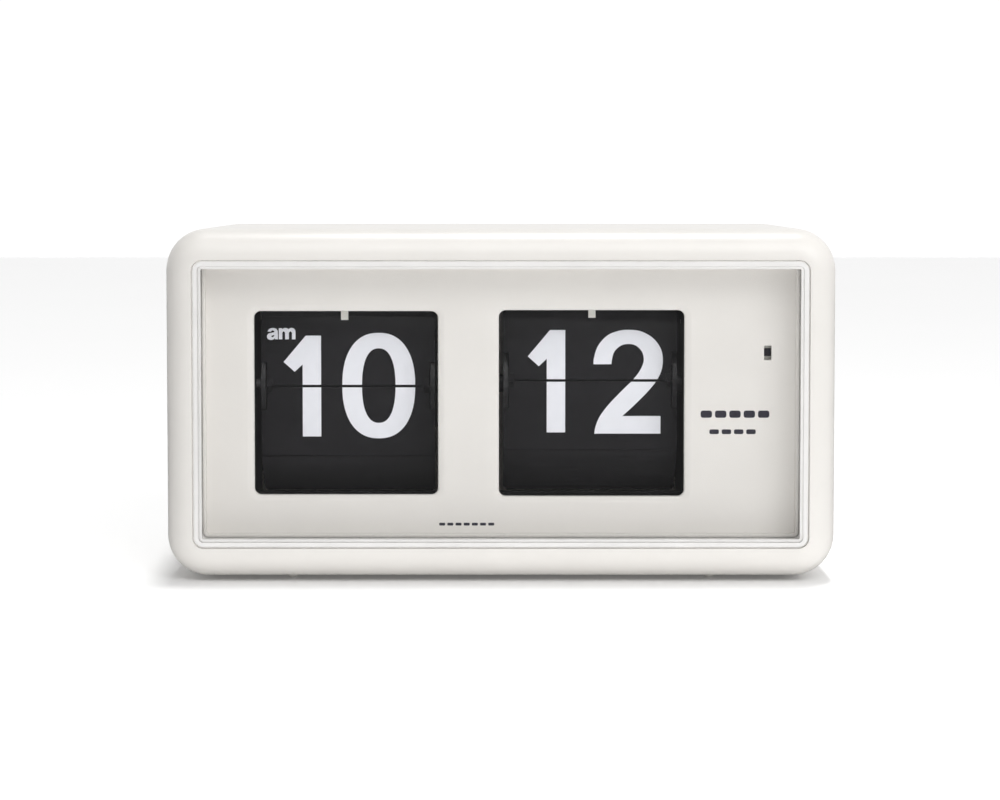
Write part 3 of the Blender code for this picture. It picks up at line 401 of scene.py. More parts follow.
def carve(piece, cuts):
    """Applies Boolean steps, each (operation, bmesh), then throws their shapes away."""
    tools = []
    for operation, data in cuts:
        tools.append(new_object("tool", data))
        step = piece.modifiers.new("Step", "BOOLEAN")
        step.operation = operation
        step.object = tools[-1]
        step.solver = "EXACT"
    graph = bpy.context.evaluated_depsgraph_get()
    graph.update()
    mesh = bpy.data.meshes.new_from_object(piece.evaluated_get(graph))
    piece.modifiers.clear()
    piece.data = mesh
    for made in tools:
        bpy.data.objects.remove(made, do_unlink=True)


# Case and face. A size is (half width, half height, corner radius). FLARE is the inside behind the opening,
# as (share of the way from the opening's wall to the case's wall, depth in millimetres). WINDOW_FRAME is
# (outwards, backwards) in millimetres from the window's edge and the dial's front.

CASE_LOW, CASE_HIGH = map(Vector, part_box("case_shell"))
LENS_LOW, LENS_HIGH = map(Vector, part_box("front_lens"))
DIAL_LOW, DIAL_HIGH = map(Vector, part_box("dial_plate"))
MIDDLE_Z = (CASE_LOW.z + CASE_HIGH.z) / 2
FACE_MIDDLE = (0.0, MIDDLE_Z)
GAP = 0.3 * MM

CASE_CORNER = 13.0 * MM
CASE_WALL = 2.5 * MM
CASE_LIP = 0.35 * MM
CASE_ROUNDING = 8.8 * MM
ROUNDING_STEPS = 18
OPENING = (96.2 * MM, 45.05 * MM, 3.4 * MM)
OPENING_DEPTH = 9.0 * MM
OPENING_WALL = 1.8 * MM
FLARE = ((0.0, 9.0), (0.0, 3.0), (0.5, 4.2), (0.85, 6.6), (1.0, 8.8))
POST_X = 94.5 * MM
POST_Z = 45.5 * MM
POST_RADIUS = 3.6 * MM
POST_START = 30 * MM
POST_END = 41.7 * MM
PILOT_START = 33 * MM
PILOT_END = 43 * MM
RIB_HALF = 1 * MM
SCREW_HOLE = 1.6 * MM
FOOT_HOLE = 1.2 * MM

LENS_PROUD = 0.15 * MM
LENS_EDGE = 0.8 * MM
LENS_WALL = 1.4 * MM
LENS_PANE = 1.2 * MM
PANE_RING = 0.9 * MM
INNER_PANE_RING = 0.3 * MM
SNAP_X = 46.9 * MM
SNAP_HALF = 5 * MM
SNAP_TALL = 1.2 * MM

DIAL_RIM = 2.0 * MM
DIAL_FRONT = DIAL_LOW.y + DIAL_RIM
DIAL_BACK = DIAL_FRONT + 1.5 * MM
DIAL_CORNER = 9.0 * MM
LENS_BACK = DIAL_FRONT - GAP
LENS_HALF_HEIGHT = (LENS_HIGH.z - LENS_LOW.z) / 2 + LENS_PROUD
BOSS_X = 74 * MM
BOSS_HEIGHTS = (93.0 * MM, 21.6 * MM)
BOSS_RADIUS = 2.6 * MM
HOUR_WINDOW = ((-49.1 * MM, 55.5 * MM), (29.15 * MM, 29.2 * MM))
MINUTE_WINDOW = ((28.8 * MM, 55.4 * MM), (29.4 * MM, 29.6 * MM))
WINDOW_FRAME = ((2.4, -1.0), (2.4, 0.0), (2.0, 0.03), (1.5, 0.12), (1.0, 0.25), (0.6, 0.36), (0.3, 0.48),
                (0.1, 0.68), (0.0, 0.95), (0.0, 2.5))
WINDOW_CORNER = 2.1
SLOT_MIDDLE = (84.6 * MM, 71.5 * MM)
SLOT_SIZE = (1.2 * MM, 2.3 * MM, 0.25 * MM)


def face_ring(size, inset, y):
    """A ring round the middle of the face, smaller than the size by the inset on every side."""
    return rounded_ring(*(value - inset for value in size), y, FACE_MIDDLE)


def case():
    """One closed skin: forward along the outside, round the front, in at the opening and back inside."""
    outer = (CASE_HIGH.x, (CASE_HIGH.z - CASE_LOW.z) / 2, CASE_CORNER)
    front, back = CASE_LOW.y, CASE_HIGH.y
    rings = [face_ring(outer, CASE_LIP, back), face_ring(outer, 0.0, back - CASE_LIP)]
    for step in range(ROUNDING_STEPS + 1):
        angle = math.radians(90 * step / ROUNDING_STEPS)
        size = between(outer, OPENING, 1 - math.cos(angle))
        rings.append(face_ring(size, 0.0, front + CASE_ROUNDING * (1 - math.sin(angle))))
    rings.append(face_ring(OPENING, 0.0, front + OPENING_DEPTH))
    lining = [value + OPENING_WALL for value in OPENING]
    inner = [value - CASE_WALL for value in outer]
    for share, depth in FLARE:
        rings.append(face_ring(between(lining, inner, share), 0.0, front + depth * MM))
    rings.append(face_ring(inner, 0.0, back))
    piece = finish("case", loft(rings, closed=True), "case_cream", "clock")
    carve(piece, screw_posts() + foot_holes())
    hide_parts("case_shell")


def screw_posts():
    """In each corner a post for a cover screw, and a rib that ties it to the side wall."""
    cuts = []
    wall_middle = CASE_HIGH.x - CASE_WALL / 2
    for side in (-1, 1):
        for level in (-1, 1):
            centre = (side * POST_X, MIDDLE_Z + level * POST_Z)
            left, right = sorted((side * POST_X, side * wall_middle))
            rib = box_data((left, POST_START, centre[1] - RIB_HALF), (right, POST_END, centre[1] + RIB_HALF))
            cuts.append(("UNION", rod_data(POST_RADIUS, POST_START, POST_END, centre)))
            cuts.append(("UNION", rib))
            cuts.append(("DIFFERENCE", rod_data(SCREW_HOLE, PILOT_START, PILOT_END, centre)))
    return cuts


def foot_holes():
    """Square holes through the floor of the case for the stems of the feet."""
    cuts = []
    for name in ("front_foot_left", "front_foot_right", "rear_foot_left", "rear_foot_right"):
        low, high = map(Vector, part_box(name))
        x, y = (low.x + high.x) / 2, (low.y + high.y) / 2
        cuts.append(("DIFFERENCE", box_data((x - FOOT_HOLE, y - FOOT_HOLE, CASE_LOW.z - MM),
                                            (x + FOOT_HOLE, y + FOOT_HOLE, CASE_LOW.z + CASE_WALL + MM))))
    return cuts


def rounded_edge(size, inset, y):
    """Rings round the lens's front edge, from the pane out to the wall."""
    rings = []
    for degrees in range(0, 91, 15):
        angle = math.radians(degrees)
        rings.append(face_ring(size, inset + LENS_EDGE * (1 - math.sin(angle)),
                               y + LENS_EDGE * (1 - math.cos(angle))))
    return rings


def lens():
    """A clear box open at the back. A flat ring beside each pane keeps the pane's shading flat.

    Only the two faces of the pane are clear; all the others are painted milky white, painted light that
    stands in for the light the clear walls carry.
    """
    size = (LENS_HIGH.x + LENS_PROUD, LENS_HALF_HEIGHT, OPENING[2] - GAP + LENS_PROUD)
    wall = LENS_WALL + LENS_PROUD
    front = LENS_LOW.y
    rings = [face_ring(size, LENS_EDGE + PANE_RING, front)]
    rings += rounded_edge(size, 0.0, front)
    rings += [face_ring(size, 0.0, LENS_BACK), face_ring(size, wall, LENS_BACK)]
    rings += reversed(rounded_edge(size, wall, front + LENS_PANE))
    rings.append(face_ring(size, wall + LENS_EDGE + INNER_PANE_RING, front + LENS_PANE))
    data = loft(rings)
    # All but the pane's two faces get the milky colour that stands in for light piped through the clear
    # walls.
    for face in sorted(data.faces, key=lambda face: face.calc_area())[:-2]:
        face.material_index = 1
    piece = finish("lens", data, "clear_plastic", "clock")
    piece.data.materials.append(MATERIALS["painted_light_edge"])
    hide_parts("front_lens")


def lens_clips():
    """Four snap tabs behind the lens's walls, which reach through the dial."""
    data = bmesh.new()
    for x in (-SNAP_X, SNAP_X):
        for level in (-1, 1):
            low, high = sorted(MIDDLE_Z + level * z for z in (LENS_HALF_HEIGHT, LENS_HALF_HEIGHT - SNAP_TALL))
            add_box(data, (x - SNAP_HALF, LENS_BACK + 0.02 * MM, low), (x + SNAP_HALF, LENS_HIGH.y, high))
    finish("lens_clips", data, "frosted", "clock", bevel=0.12 * MM)


def window_data(window):
    """A window with a shallow frame that sweeps down to a softened edge."""
    middle, (half_width, half_height) = window
    rings = []
    for out, deep in WINDOW_FRAME:
        rings.append(rounded_ring(half_width + out * MM, half_height + out * MM, (WINDOW_CORNER + out) * MM,
                                  DIAL_FRONT + deep * MM, middle, 6))
    return loft(rings)


def dial():
    """A plate behind the opening, with a soft rim that stands forward inside the lens."""
    inset = LENS_WALL + 1.35 * GAP
    rim = [value - inset for value in OPENING]
    plate = (DIAL_HIGH.x, (DIAL_HIGH.z - DIAL_LOW.z) / 2, DIAL_CORNER)
    top = DIAL_FRONT - DIAL_RIM
    soft = 0.25 * MM
    rings = [face_ring(plate, 0.0, DIAL_BACK), face_ring(plate, 0.0, DIAL_FRONT)]
    rings.append(face_ring(rim, 0.0, DIAL_FRONT))
    for share, y in ((0.0, top + soft), (0.3, top + soft * 0.3), (1.0, top)):
        rings.append(face_ring(rim, soft * share, y))
    for step, corner, y in ((0.75, 0.85, top), (0.93, 0.82, top + soft * 0.3), (1.0, 0.8, top + soft),
                            (1.0, 0.8, DIAL_FRONT)):
        rings.append(rounded_ring(rim[0] - step * MM, rim[1] - step * MM, corner * MM, y, FACE_MIDDLE))
    piece = finish("dial", loft(rings), "dial_cream", "clock")
    cuts = [("DIFFERENCE", window_data(window)) for window in (HOUR_WINDOW, MINUTE_WINDOW)]
    for side in (-1, 1):
        for z in BOSS_HEIGHTS:
            centre = (side * BOSS_X, z)
            cuts.append(("UNION", rod_data(BOSS_RADIUS, DIAL_BACK - 0.5 * MM, DIAL_HIGH.y, centre)))
            cuts.append(("DIFFERENCE", rod_data(SCREW_HOLE, DIAL_BACK + MM, DIAL_HIGH.y + MM, centre)))
        for level in (-1, 1):
            x = side * SNAP_X
            z = MIDDLE_Z + level * (OPENING[1] - GAP - SNAP_TALL / 2)
            reach, tall = SNAP_HALF + GAP, SNAP_TALL / 2 + GAP
            cuts.append(("DIFFERENCE", box_data((x - reach, DIAL_FRONT - MM, z - tall),
                                                (x + reach, DIAL_BACK + MM, z + tall))))
    slot = [rounded_ring(*SLOT_SIZE, y, SLOT_MIDDLE, 3) for y in (DIAL_FRONT - MM, DIAL_BACK + MM)]
    cuts.append(("DIFFERENCE", loft(slot)))
    carve(piece, cuts)
    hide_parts("dial_plate")


# Back. SCREW_SEAT and GRIP_GROOVE are steps (outwards, backwards) in millimetres from the cover's surface.

COVER_EDGE = 0.6 * MM
WHEEL_X = 72.5 * MM
WHEEL_SLOT = (3.1 * MM, 13.6 * MM, 0.8 * MM)
SCREW_SEAT = ((0.0, -1.2), (0.0, -0.3), (0.3, 0.0), (1.3, 1.0))
SEAT_RADIUS = 3.3
GRIP_TOP = 4.5
GRIP_PITCH = 2.2
GRIP_GROOVE = ((-0.25, -0.5), (0.0, -0.25), (0.15, 0.0), (0.6, 0.6))


def opening_tool(size, middle, front, back, chamfer=0.3 * MM):
    """Cuts an opening of (half width, half height, corner) through the cover, with its back edge softened."""
    rings = []
    for out, y in ((0.0, front - MM), (0.0, back - chamfer), (chamfer, back), (chamfer + MM, back + MM)):
        rings.append(rounded_ring(*(value + out for value in size), y, middle, 4))
    return loft(rings)


def back_cover():
    low, high = map(Vector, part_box("back_cover"))
    outer = (high.x, (high.z - low.z) / 2, CASE_CORNER - CASE_WALL - GAP)
    rings = [face_ring(outer, 0.0, low.y)]
    for step in range(5):
        angle = math.radians(90 * step / 4)
        rings.append(face_ring(outer, COVER_EDGE * (1 - math.cos(angle)),
                               high.y - COVER_EDGE * (1 - math.sin(angle))))
    rings.append(face_ring(outer, COVER_EDGE + 0.5 * MM, high.y))
    piece = finish("rear_cover", loft(rings), "case_cream", "clock")
    door_low, door_high = map(Vector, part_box("battery_door"))
    middle = (door_low + door_high) / 2
    half = (door_high - door_low) / 2
    doorway = (half.x + GAP, half.z + GAP, 0.3 * MM)
    cuts = [("DIFFERENCE", opening_tool(doorway, (middle.x, middle.z), low.y, high.y)),
            ("DIFFERENCE", opening_tool(WHEEL_SLOT, (WHEEL_X, DRUM.z), low.y, high.y))]
    for side in ("left", "right"):
        for level in ("lower", "upper"):
            screw_low, screw_high = map(Vector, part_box(f"cover_screw_{level}_{side}"))
            centre = ((screw_low.x + screw_high.x) / 2, (screw_low.z + screw_high.z) / 2)
            seat = [circle((SEAT_RADIUS + out) * MM, centre, high.y + y * MM, sides=48)
                    for out, y in SCREW_SEAT]
            cuts.append(("DIFFERENCE", rod_data(SCREW_HOLE, low.y - MM, high.y + MM, centre)))
            cuts.append(("DIFFERENCE", loft(seat)))
    carve(piece, cuts)
    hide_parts("back_cover")


def battery_door():
    """Its lower edge is round about the hinge; three grooves near the top give a grip."""
    low, high = map(Vector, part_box("battery_door"))
    half = (high.y - low.y) / 2
    hinge = (low.y + half, low.z + half)
    outline = []
    for step in range(17):
        angle = math.radians(180 + 180 * step / 16)
        outline.append((hinge[0] + half * math.cos(angle), hinge[1] + half * math.sin(angle)))
    soft = 0.5 * MM
    for step in range(5):
        angle = math.radians(90 * step / 4)
        outline.append((high.y - soft + soft * math.cos(angle), high.z - soft + soft * math.sin(angle)))
    outline.append((low.y, high.z))
    data = loft([[(x, y, z) for y, z in outline] for x in (low.x, high.x)])
    piece = finish("door", data, "case_cream", "door")
    middle = (low.x + high.x) / 2
    grooves = []
    for groove in range(3):
        z = high.z - (GRIP_TOP + GRIP_PITCH * groove) * MM
        rings = [rounded_ring((7.0 + out) * MM, (0.5 + out) * MM, (0.5 + out) * MM, high.y + y * MM,
                              (middle, z), 6) for out, y in GRIP_GROOVE]
        grooves.append(("DIFFERENCE", loft(rings)))
    carve(piece, grooves)
    soften(piece, 0.2 * MM, 60)
    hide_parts("battery_door")


# Number leaves. Their own sizes and angles are in millimetres and degrees.

DRUM = Vector((0.0, -10.3 * MM, 59.6 * MM))
PIN_CIRCLE = 13.0
LEAF_LENGTH = 22.4
LEAF_HALF = 28.0
BASE_HALF = 26.2
THROAT_HALF = 24.6
LEAF_START = 0.3
NECK_TOP = 2.2
LUG_DEPTH = 0.3
LUG_START = -0.25
LUG_TOP = 2.35
PIN_RADIUS = 0.27
PIN_END = 27.2
LEAF_OFFSET = 0.2
LEAF_THICKNESS = 0.4
WAITING_NOTCH = 7.7
WAITING_THICKNESS = 0.36
WAITING_HALF = WAITING_THICKNESS / 2
WAITING_LEAN = 0.66
FALLEN_START = 25.0
FALLEN_PITCH = 8.0


def leaf_profile(length, notch, corner=1.5):
    """The leaf's outline from its hinge up, as (x, z), symmetrical."""
    right = [(THROAT_HALF, LEAF_START), (THROAT_HALF, NECK_TOP), (BASE_HALF, NECK_TOP), (BASE_HALF, notch),
             (LEAF_HALF, notch)]
    for degrees in range(0, 91, 15):
        angle = math.radians(degrees)
        x = LEAF_HALF - corner + corner * math.cos(angle)
        right.append((x, length - corner + corner * math.sin(angle)))
    return right + [(-x, z) for x, z in reversed(right)]


def leaf_data(length, notch, offset, thickness=LEAF_THICKNESS, pins=True):
    """One leaf in its own frame: hinge line along X through the origin, leaf standing on it.

    With pins it has a lug and a pin at each side of its foot.
    """
    outline = leaf_profile(length, notch)
    data = loft([[(x * MM, y * MM, z * MM) for x, z in outline] for y in (offset, offset + thickness)])
    sides = (-1, 1) if pins else ()
    for side in sides:
        low, high = sorted((side * (THROAT_HALF - LUG_DEPTH), side * BASE_HALF))
        add_box(data, (low * MM, -WAITING_HALF * MM, LUG_START * MM),
                (high * MM, (offset + thickness - 0.02) * MM, LUG_TOP * MM))
        low, high = sorted((side * (BASE_HALF - 0.4), side * PIN_END))
        skin(data, [circle(PIN_RADIUS * MM, (0.0, 0.0), along * MM, "X", 12) for along in (low, high)])
    return data


class Display:
    """One drum's leaves. Waiting is (first, pitch, last) angle; fallen is (end of the first, step, count)."""

    def __init__(self, name, x, hinge_z, notch, waiting, fallen):
        first, pitch, last = waiting
        self.name = name
        self.x = x * MM
        self.z = hinge_z * MM
        self.y = DRUM.y - math.sqrt((PIN_CIRCLE * MM) ** 2 - (self.z - DRUM.z) ** 2)
        self.notch = notch
        self.angles = [first + pitch * index for index in range(int((last - first) / pitch) + 1)]
        self.hanging = fallen

    def upper(self):
        """The leaf in front, which falls about the display's hinge line."""
        data = place(leaf_data(LEAF_LENGTH, self.notch, LEAF_OFFSET), self.x, self.y, self.z)
        piece = finish(self.name + "_leaf_up", data, "leaf_black", self.name + "_leaf", bevel=0.06 * MM)
        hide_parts(self.name + "_upper_leaf")

    def lower(self):
        """The leaf below the split line, which stays with the clock."""
        data = leaf_data(LEAF_LENGTH, self.notch, LEAF_OFFSET, pins=False)
        data.transform(Matrix.Diagonal((1.0, 1.0, -1.0, 1.0)))
        place(data, self.x, self.y, self.z)
        piece = finish(self.name + "_leaf_down", data, "leaf_black", "clock", bevel=0.06 * MM)
        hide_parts(self.name + "_lower_leaf")

    def stack(self, leaves, name, node):
        """Leaves as (hinge angle, direction, length), each a thin plate on the pin circle."""
        plates = []
        for angle, direction, length in leaves:
            turn = math.radians(angle)
            y = DRUM.y - PIN_CIRCLE * MM * math.cos(turn)
            z = DRUM.z + PIN_CIRCLE * MM * math.sin(turn)
            leaf = leaf_data(length, WAITING_NOTCH, -WAITING_HALF, WAITING_THICKNESS)
            if (angle, direction) == (self.angles[0], 90):
                add_box(leaf, (-THROAT_HALF * MM, -WAITING_HALF * MM, self.z + LEAF_START * MM - z),
                        (THROAT_HALF * MM, WAITING_HALF * MM, 0.5 * MM))
            plates.append(place(leaf, self.x, y, z, math.radians(90 - direction)))
        piece = finish(name, merge(plates), "leaf_black", "clock")
        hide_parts(node)

    def next_face(self):
        """How far the front of the first waiting leaf lies behind this display's hinge."""
        first = math.radians(self.angles[0])
        return (DRUM.y - self.y) / MM - PIN_CIRCLE * math.cos(first) - WAITING_HALF

    def waiting(self):
        """The first leaf stands upright, down to the split line, and the others lean back one by one."""
        first = self.angles[0]
        leaves = [(angle, 90 + (angle - first) * WAITING_LEAN, LEAF_LENGTH) for angle in self.angles]
        self.stack(leaves, self.name + "_leaves_waiting", self.name + "_waiting_leaves")

    def fallen(self):
        """Leaves that hang straight down, each ending a step lower than the one in front of it."""
        end, step, count = self.hanging
        leaves = []
        for index in range(count):
            angle = -(FALLEN_START + FALLEN_PITCH * index)
            top = DRUM.z / MM + PIN_CIRCLE * math.sin(math.radians(angle))
            leaves.append((angle, -90, top - end + step * index))
        self.stack(leaves, self.name + "_leaves_fallen", self.name + "_fallen_leaves")


HOUR = Display("hour", -49.2, 59.9, 7.7, (26, 15, 190), (34.0, 1.5, 7))
MINUTE = Display("minute", 28.8, 61.7, 9.1, (26, 6, 230), (37.2, 1.75, 8))


# Printed numbers, in millimetres from the middle of the leaf and from the split line

def smooth_line(points, steps=6):
    """A Catmull-Rom line through the points, with this many steps between two of them."""
    line = []
    for index in range(len(points) - 1):
        before = points[max(index - 1, 0)]
        here, there = points[index], points[index + 1]
        after = points[min(index + 2, len(points) - 1)]
        for step in range(steps):
            t = step / steps
            point = []
            for a, b, c, d in zip(before, here, there, after):
                curved = (2 * a - 5 * b + 4 * c - d) * t * t + (3 * b - a - 3 * c + d) * t ** 3
                point.append(0.5 * (2 * b + (c - a) * t + curved))
            line.append(tuple(point))
    return line + [points[-1]]


def digit_one(x, foot=-16.3):
    """Its stem's right edge is at x."""
    return [[(x, 16.3), (x - 4.9, 16.3), (x - 12.05, 7.8), (x - 8.5, 4.6), (x - 5.95, 7.0), (x - 5.95, foot),
             (x, foot)]]


def digit_zero(x):
    """Outer and inner loops round x, each a rounded oval."""
    loops = []
    for wide, tall, power in ((11.75, 17.05, 2.3), (5.4, 12.05, 2.35)):
        loop = []
        for index in range(72):
            angle = 2 * math.pi * index / 72
            across, up = math.cos(angle), math.sin(angle)
            loop.append((x + math.copysign(wide * abs(across) ** (2 / power), across),
                         0.15 + math.copysign(tall * abs(up) ** (2 / power), up)))
        loops.append(loop)
    return loops


def digit_two(x):
    """Centred on x."""
    outer = smooth_line([(-11.1, 5.25), (-10.9, 7.45), (-9.6, 11.25), (-6.6, 14.55), (-2.9, 16.05),
                         (0.4, 16.35), (4.2, 15.85), (8.0, 13.75), (10.5, 10.45), (11.25, 6.9), (10.8, 3.2),
                         (9.15, -0.2), (6.6, -3.4), (3.9, -6.2), (1.0, -9.0), (-1.75, -11.5)])
    inner = smooth_line([(-10.8, -17.2), (-10.3, -14.6), (-8.9, -11.4), (-6.2, -7.8), (-3.0, -4.4),
                         (-0.4, -1.8), (1.35, -0.1), (3.6, 2.75), (4.85, 5.3), (5.1, 7.1), (4.5, 9.35),
                         (2.6, 11.25), (0.2, 11.8), (-2.3, 11.25), (-4.3, 9.45), (-5.1, 7.05), (-5.3, 5.25)])
    base = [(10.55, -11.5), (10.55, -17.2)]
    return [[(x + a, b) for a, b in outer + base + inner]]


def digit_three(x):
    """Centred on x."""
    outer = smooth_line([(-10.9, 7.2), (-9.9, 11.2), (-6.6, 15.1), (-0.2, 16.8), (6.2, 15.3), (9.4, 11.3),
                         (9.6, 6.8), (7.6, 2.9), (5.0, 0.9)])
    outer += smooth_line([(5.0, 0.9), (8.9, -1.5), (11.0, -5.6), (10.6, -10.6), (7.4, -14.8), (0.6, -16.9),
                          (-6.2, -15.4), (-10.2, -11.6), (-11.3, -6.6)])[1:]
    inner = smooth_line([(-5.6, -6.6), (-4.6, -10.2), (-1.6, -12.2), (2.2, -11.8), (4.7, -9.0), (4.6, -5.0),
                         (2.4, -2.2), (-2.6, -1.6)])
    inner += [(-2.6, 2.7)]
    inner += smooth_line([(-0.4, 2.8), (2.6, 4.2), (4.0, 7.4), (3.0, 10.7), (-0.2, 12.3), (-3.6, 11.0),
                          (-5.4, 7.2)])
    return [[(x + a, b) for a, b in outer + inner]]


def letters_am(x, z):
    """Small heavy letters, as one list of loops each. (x, z) is the lower left corner."""
    bowl = smooth_line([(0.27, 2.5), (0.4, 2.9), (0.8, 3.38), (1.56, 3.66), (2.34, 3.63), (2.97, 3.4),
                        (3.38, 2.93), (3.5, 2.38)], 3)
    bowl += [(3.52, 0.4), (3.62, 0.0), (2.66, 0.0)]
    bowl += smooth_line([(2.5, 0.3), (2.05, -0.06), (1.33, -0.2), (0.65, -0.06), (0.16, 0.36), (0.02, 0.92),
                         (0.2, 1.52), (0.75, 1.95), (1.56, 2.13), (2.2, 2.25), (2.4, 2.48), (2.24, 2.75),
                         (1.87, 2.86), (1.5, 2.74), (1.3, 2.45)], 3)
    eye = smooth_line([(1.4, 1.0), (1.62, 1.2), (2.36, 1.36), (2.3, 1.04), (2.0, 0.78), (1.7, 0.7),
                       (1.4, 1.0)], 3)[:-1]
    arches = [(3.84, 0.0), (3.82, 3.58), (4.78, 3.62)]
    arches += smooth_line([(4.98, 3.3), (5.45, 3.6), (6.0, 3.7), (6.55, 3.56), (6.92, 3.24)], 3)
    arches += smooth_line([(6.92, 3.24), (7.35, 3.54), (7.97, 3.7), (8.6, 3.52), (9.06, 3.05),
                           (9.2, 2.4)], 3)[1:]
    arches += [(9.2, 0.0)]
    for left, right in ((7.08, 8.05), (4.96, 5.86)):
        arches += [(right, 0.0), (right, 1.95)]
        arches += smooth_line([(right, 2.1), ((left + right) / 2, 2.6), (left, 2.1)], 4)
        arches += [(left, 1.95), (left, 0.0)]
    return [[[(x + u, z + v) for u, v in loop] for loop in letter] for letter in ([bowl, eye], [arches])]


INK = 0.02
SPLIT_HALF = 0.42


def glyph_data(loops, keep):
    """Flat ink from outlines. Keep is 1 for the part above the split and -1 for the part below."""
    data = bmesh.new()
    edges = []
    for loop in loops:
        ring = [data.verts.new((u * MM, 0.0, v * MM)) for u, v in loop]
        edges += [data.edges.new((ring[index - 1], ring[index])) for index in range(len(ring))]
    bmesh.ops.triangle_fill(data, edges=edges, use_beauty=True)
    everything = data.verts[:] + data.edges[:] + data.faces[:]
    bmesh.ops.bisect_plane(data, geom=everything, plane_co=(0, 0, keep * SPLIT_HALF * MM),
                           plane_no=(0, 0, keep), clear_inner=True)
    made = bmesh.ops.extrude_face_region(data, geom=data.faces[:])
    for item in made["geom"]:
        if isinstance(item, bmesh.types.BMVert):
            item.co.y -= INK * MM
    return data


def numbers(display, name, glyphs, keep, body, lift, flipped=False):
    """Prints glyphs on a leaf. Lift is how far behind the hinge the printed face lies, in millimetres."""
    parts = [glyph_data(loops, keep) for loops in glyphs]
    data = merge([part for part in parts if part.faces])
    if flipped:
        data.transform(Matrix.Rotation(math.pi, 4, "X"))
    place(data, display.x, display.y + lift * MM, display.z)
    finish(name, data, "ink_white", body, smooth=0)


BACK_OF_LEAF = LEAF_OFFSET + LEAF_THICKNESS


def hour_numbers():
    """Ten, and the eleven that follows it on the back of the upper leaf and on the first waiting leaf."""
    am = letters_am(-26.1, 15.1)
    ten = [digit_one(-8.7), digit_zero(9.87)]
    eleven = [digit_one(-4.2), digit_one(14.0)]
    numbers(HOUR, "hour_print_up", ten + am, 1, "hour_leaf", LEAF_OFFSET)
    numbers(HOUR, "hour_print_down", ten, -1, "clock", LEAF_OFFSET)
    numbers(HOUR, "hour_print_back", eleven, -1, "hour_leaf", BACK_OF_LEAF, flipped=True)
    numbers(HOUR, "hour_print_next", eleven + am, 1, "clock", HOUR.next_face())


def minute_numbers():
    """Twelve, and the thirteen that follows it."""
    twelve = [digit_one(-8.05, -16.8), digit_two(12.15)]
    thirteen = [digit_one(-8.05, -16.8), digit_three(12.15)]
    numbers(MINUTE, "minute_print_up", twelve, 1, "minute_leaf", LEAF_OFFSET)
    numbers(MINUTE, "minute_print_down", twelve, -1, "clock", LEAF_OFFSET)
    numbers(MINUTE, "minute_print_back", thirteen, -1, "minute_leaf", BACK_OF_LEAF, flipped=True)
    numbers(MINUTE, "minute_print_next", thirteen, 1, "clock", MINUTE.next_face())


# Other printing

BANDS = 15
BAND_HALF_ANGLE = 7.3
BAND_STEPS = 6
BAND_MARGIN = 0.5 * MM
BAND_TOP = 0.05 * MM
BAND_BOTTOM = -0.15 * MM

RULES = (
    {"count": 5, "start": 63.4, "pitch": 4.55, "long": 3.6, "tall": 2.3, "z": 52.0},
    {"count": 4, "start": 66.2, "pitch": 3.9, "long": 3.0, "tall": 1.5, "z": 46.4},
    {"count": 7, "start": -19.6, "pitch": 2.6, "long": 1.9, "tall": 0.9, "z": 16.9},
)


def indicator_bands():
    """Dark bands along the indicator drum, so that its turning shows in the dial's slot."""
    low, high = map(Vector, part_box("indicator_drum"))
    middle = (low + high) / 2
    radius = (high.z - low.z) / 2
    left, right = low.x + BAND_MARGIN, high.x - BAND_MARGIN
    data = bmesh.new()
    for band in range(BANDS):
        rings = []
        for step in range(BAND_STEPS + 1):
            across = BAND_HALF_ANGLE * (2 * step / BAND_STEPS - 1)
            angle = math.radians(360 / BANDS * band + across)
            ring = []
            for x, lift in ((left, BAND_TOP), (right, BAND_TOP), (right, BAND_BOTTOM), (left, BAND_BOTTOM)):
                reach = radius + lift
                ring.append((x, middle.y - reach * math.cos(angle), middle.z + reach * math.sin(angle)))
            rings.append(ring)
        skin(data, rings)
    finish("indicator_bands", data, "ink_dark", "indicator", smooth=0)


def dial_marks():
    """Plain printed rules on the dial."""
    parts = []
    for rule in RULES:
        half_long, half_tall = rule["long"] / 2 * MM, rule["tall"] / 2 * MM
        for index in range(rule["count"]):
            middle = ((rule["start"] + rule["pitch"] * index + rule["long"] / 2) * MM, rule["z"] * MM)
            rings = [rounded_ring(half_long, half_tall, half_tall * 0.6, DIAL_FRONT + depth, middle, 3)
                     for depth in (-INK * MM, 0.05 * MM)]
            parts.append(loft(rings))
    finish("dial_marks", merge(parts), "ink_dark", "clock", smooth=0)


# CAD nodes that keep their shape

def repaint():
    """Gives each CAD node the material of its slot."""
    for entry in frame["record"]["subparts"]:
        node = frame["nodes"][entry["node"]]
        if not node.material_slots:
            node.data.materials.append(None)
        for holder in node.material_slots:
            holder.material = MATERIALS[entry["material_slot"]]


# Room, light and camera

def floor():
    """A pale floor, which reflects little of itself into glossy surfaces."""
    data = bmesh.new()
    bmesh.ops.create_grid(data, x_segments=8, y_segments=8, size=3.0)
    made = new_object("floor", data)
    material, shader, output = new_material("floor_white")
    cloud = noise(material, coordinates(material), scale=0.002)
    tint = ramp(material, cloud, (0.97, 0.97, 0.97), (0.985, 0.985, 0.985))
    link(material, tint, shader.inputs["Base Color"])
    shader.inputs["Roughness"].default_value = 0.9
    shader.inputs["Emission Color"].default_value = (1.0, 1.0, 1.0, 1.0)
    shader.inputs["Emission Strength"].default_value = 0.05
    shader.inputs["Specular IOR Level"].default_value = 0.1
    nodes = material.node_tree.nodes
    dim = nodes.new("ShaderNodeBsdfDiffuse")
    dim.inputs["Color"].default_value = (0.12, 0.12, 0.12, 1.0)
    path = nodes.new("ShaderNodeLightPath")
    mix_shaders(material, path.outputs["Is Glossy Ray"], shader.outputs["BSDF"], dim.outputs["BSDF"], output)
    made.data.materials.append(material)


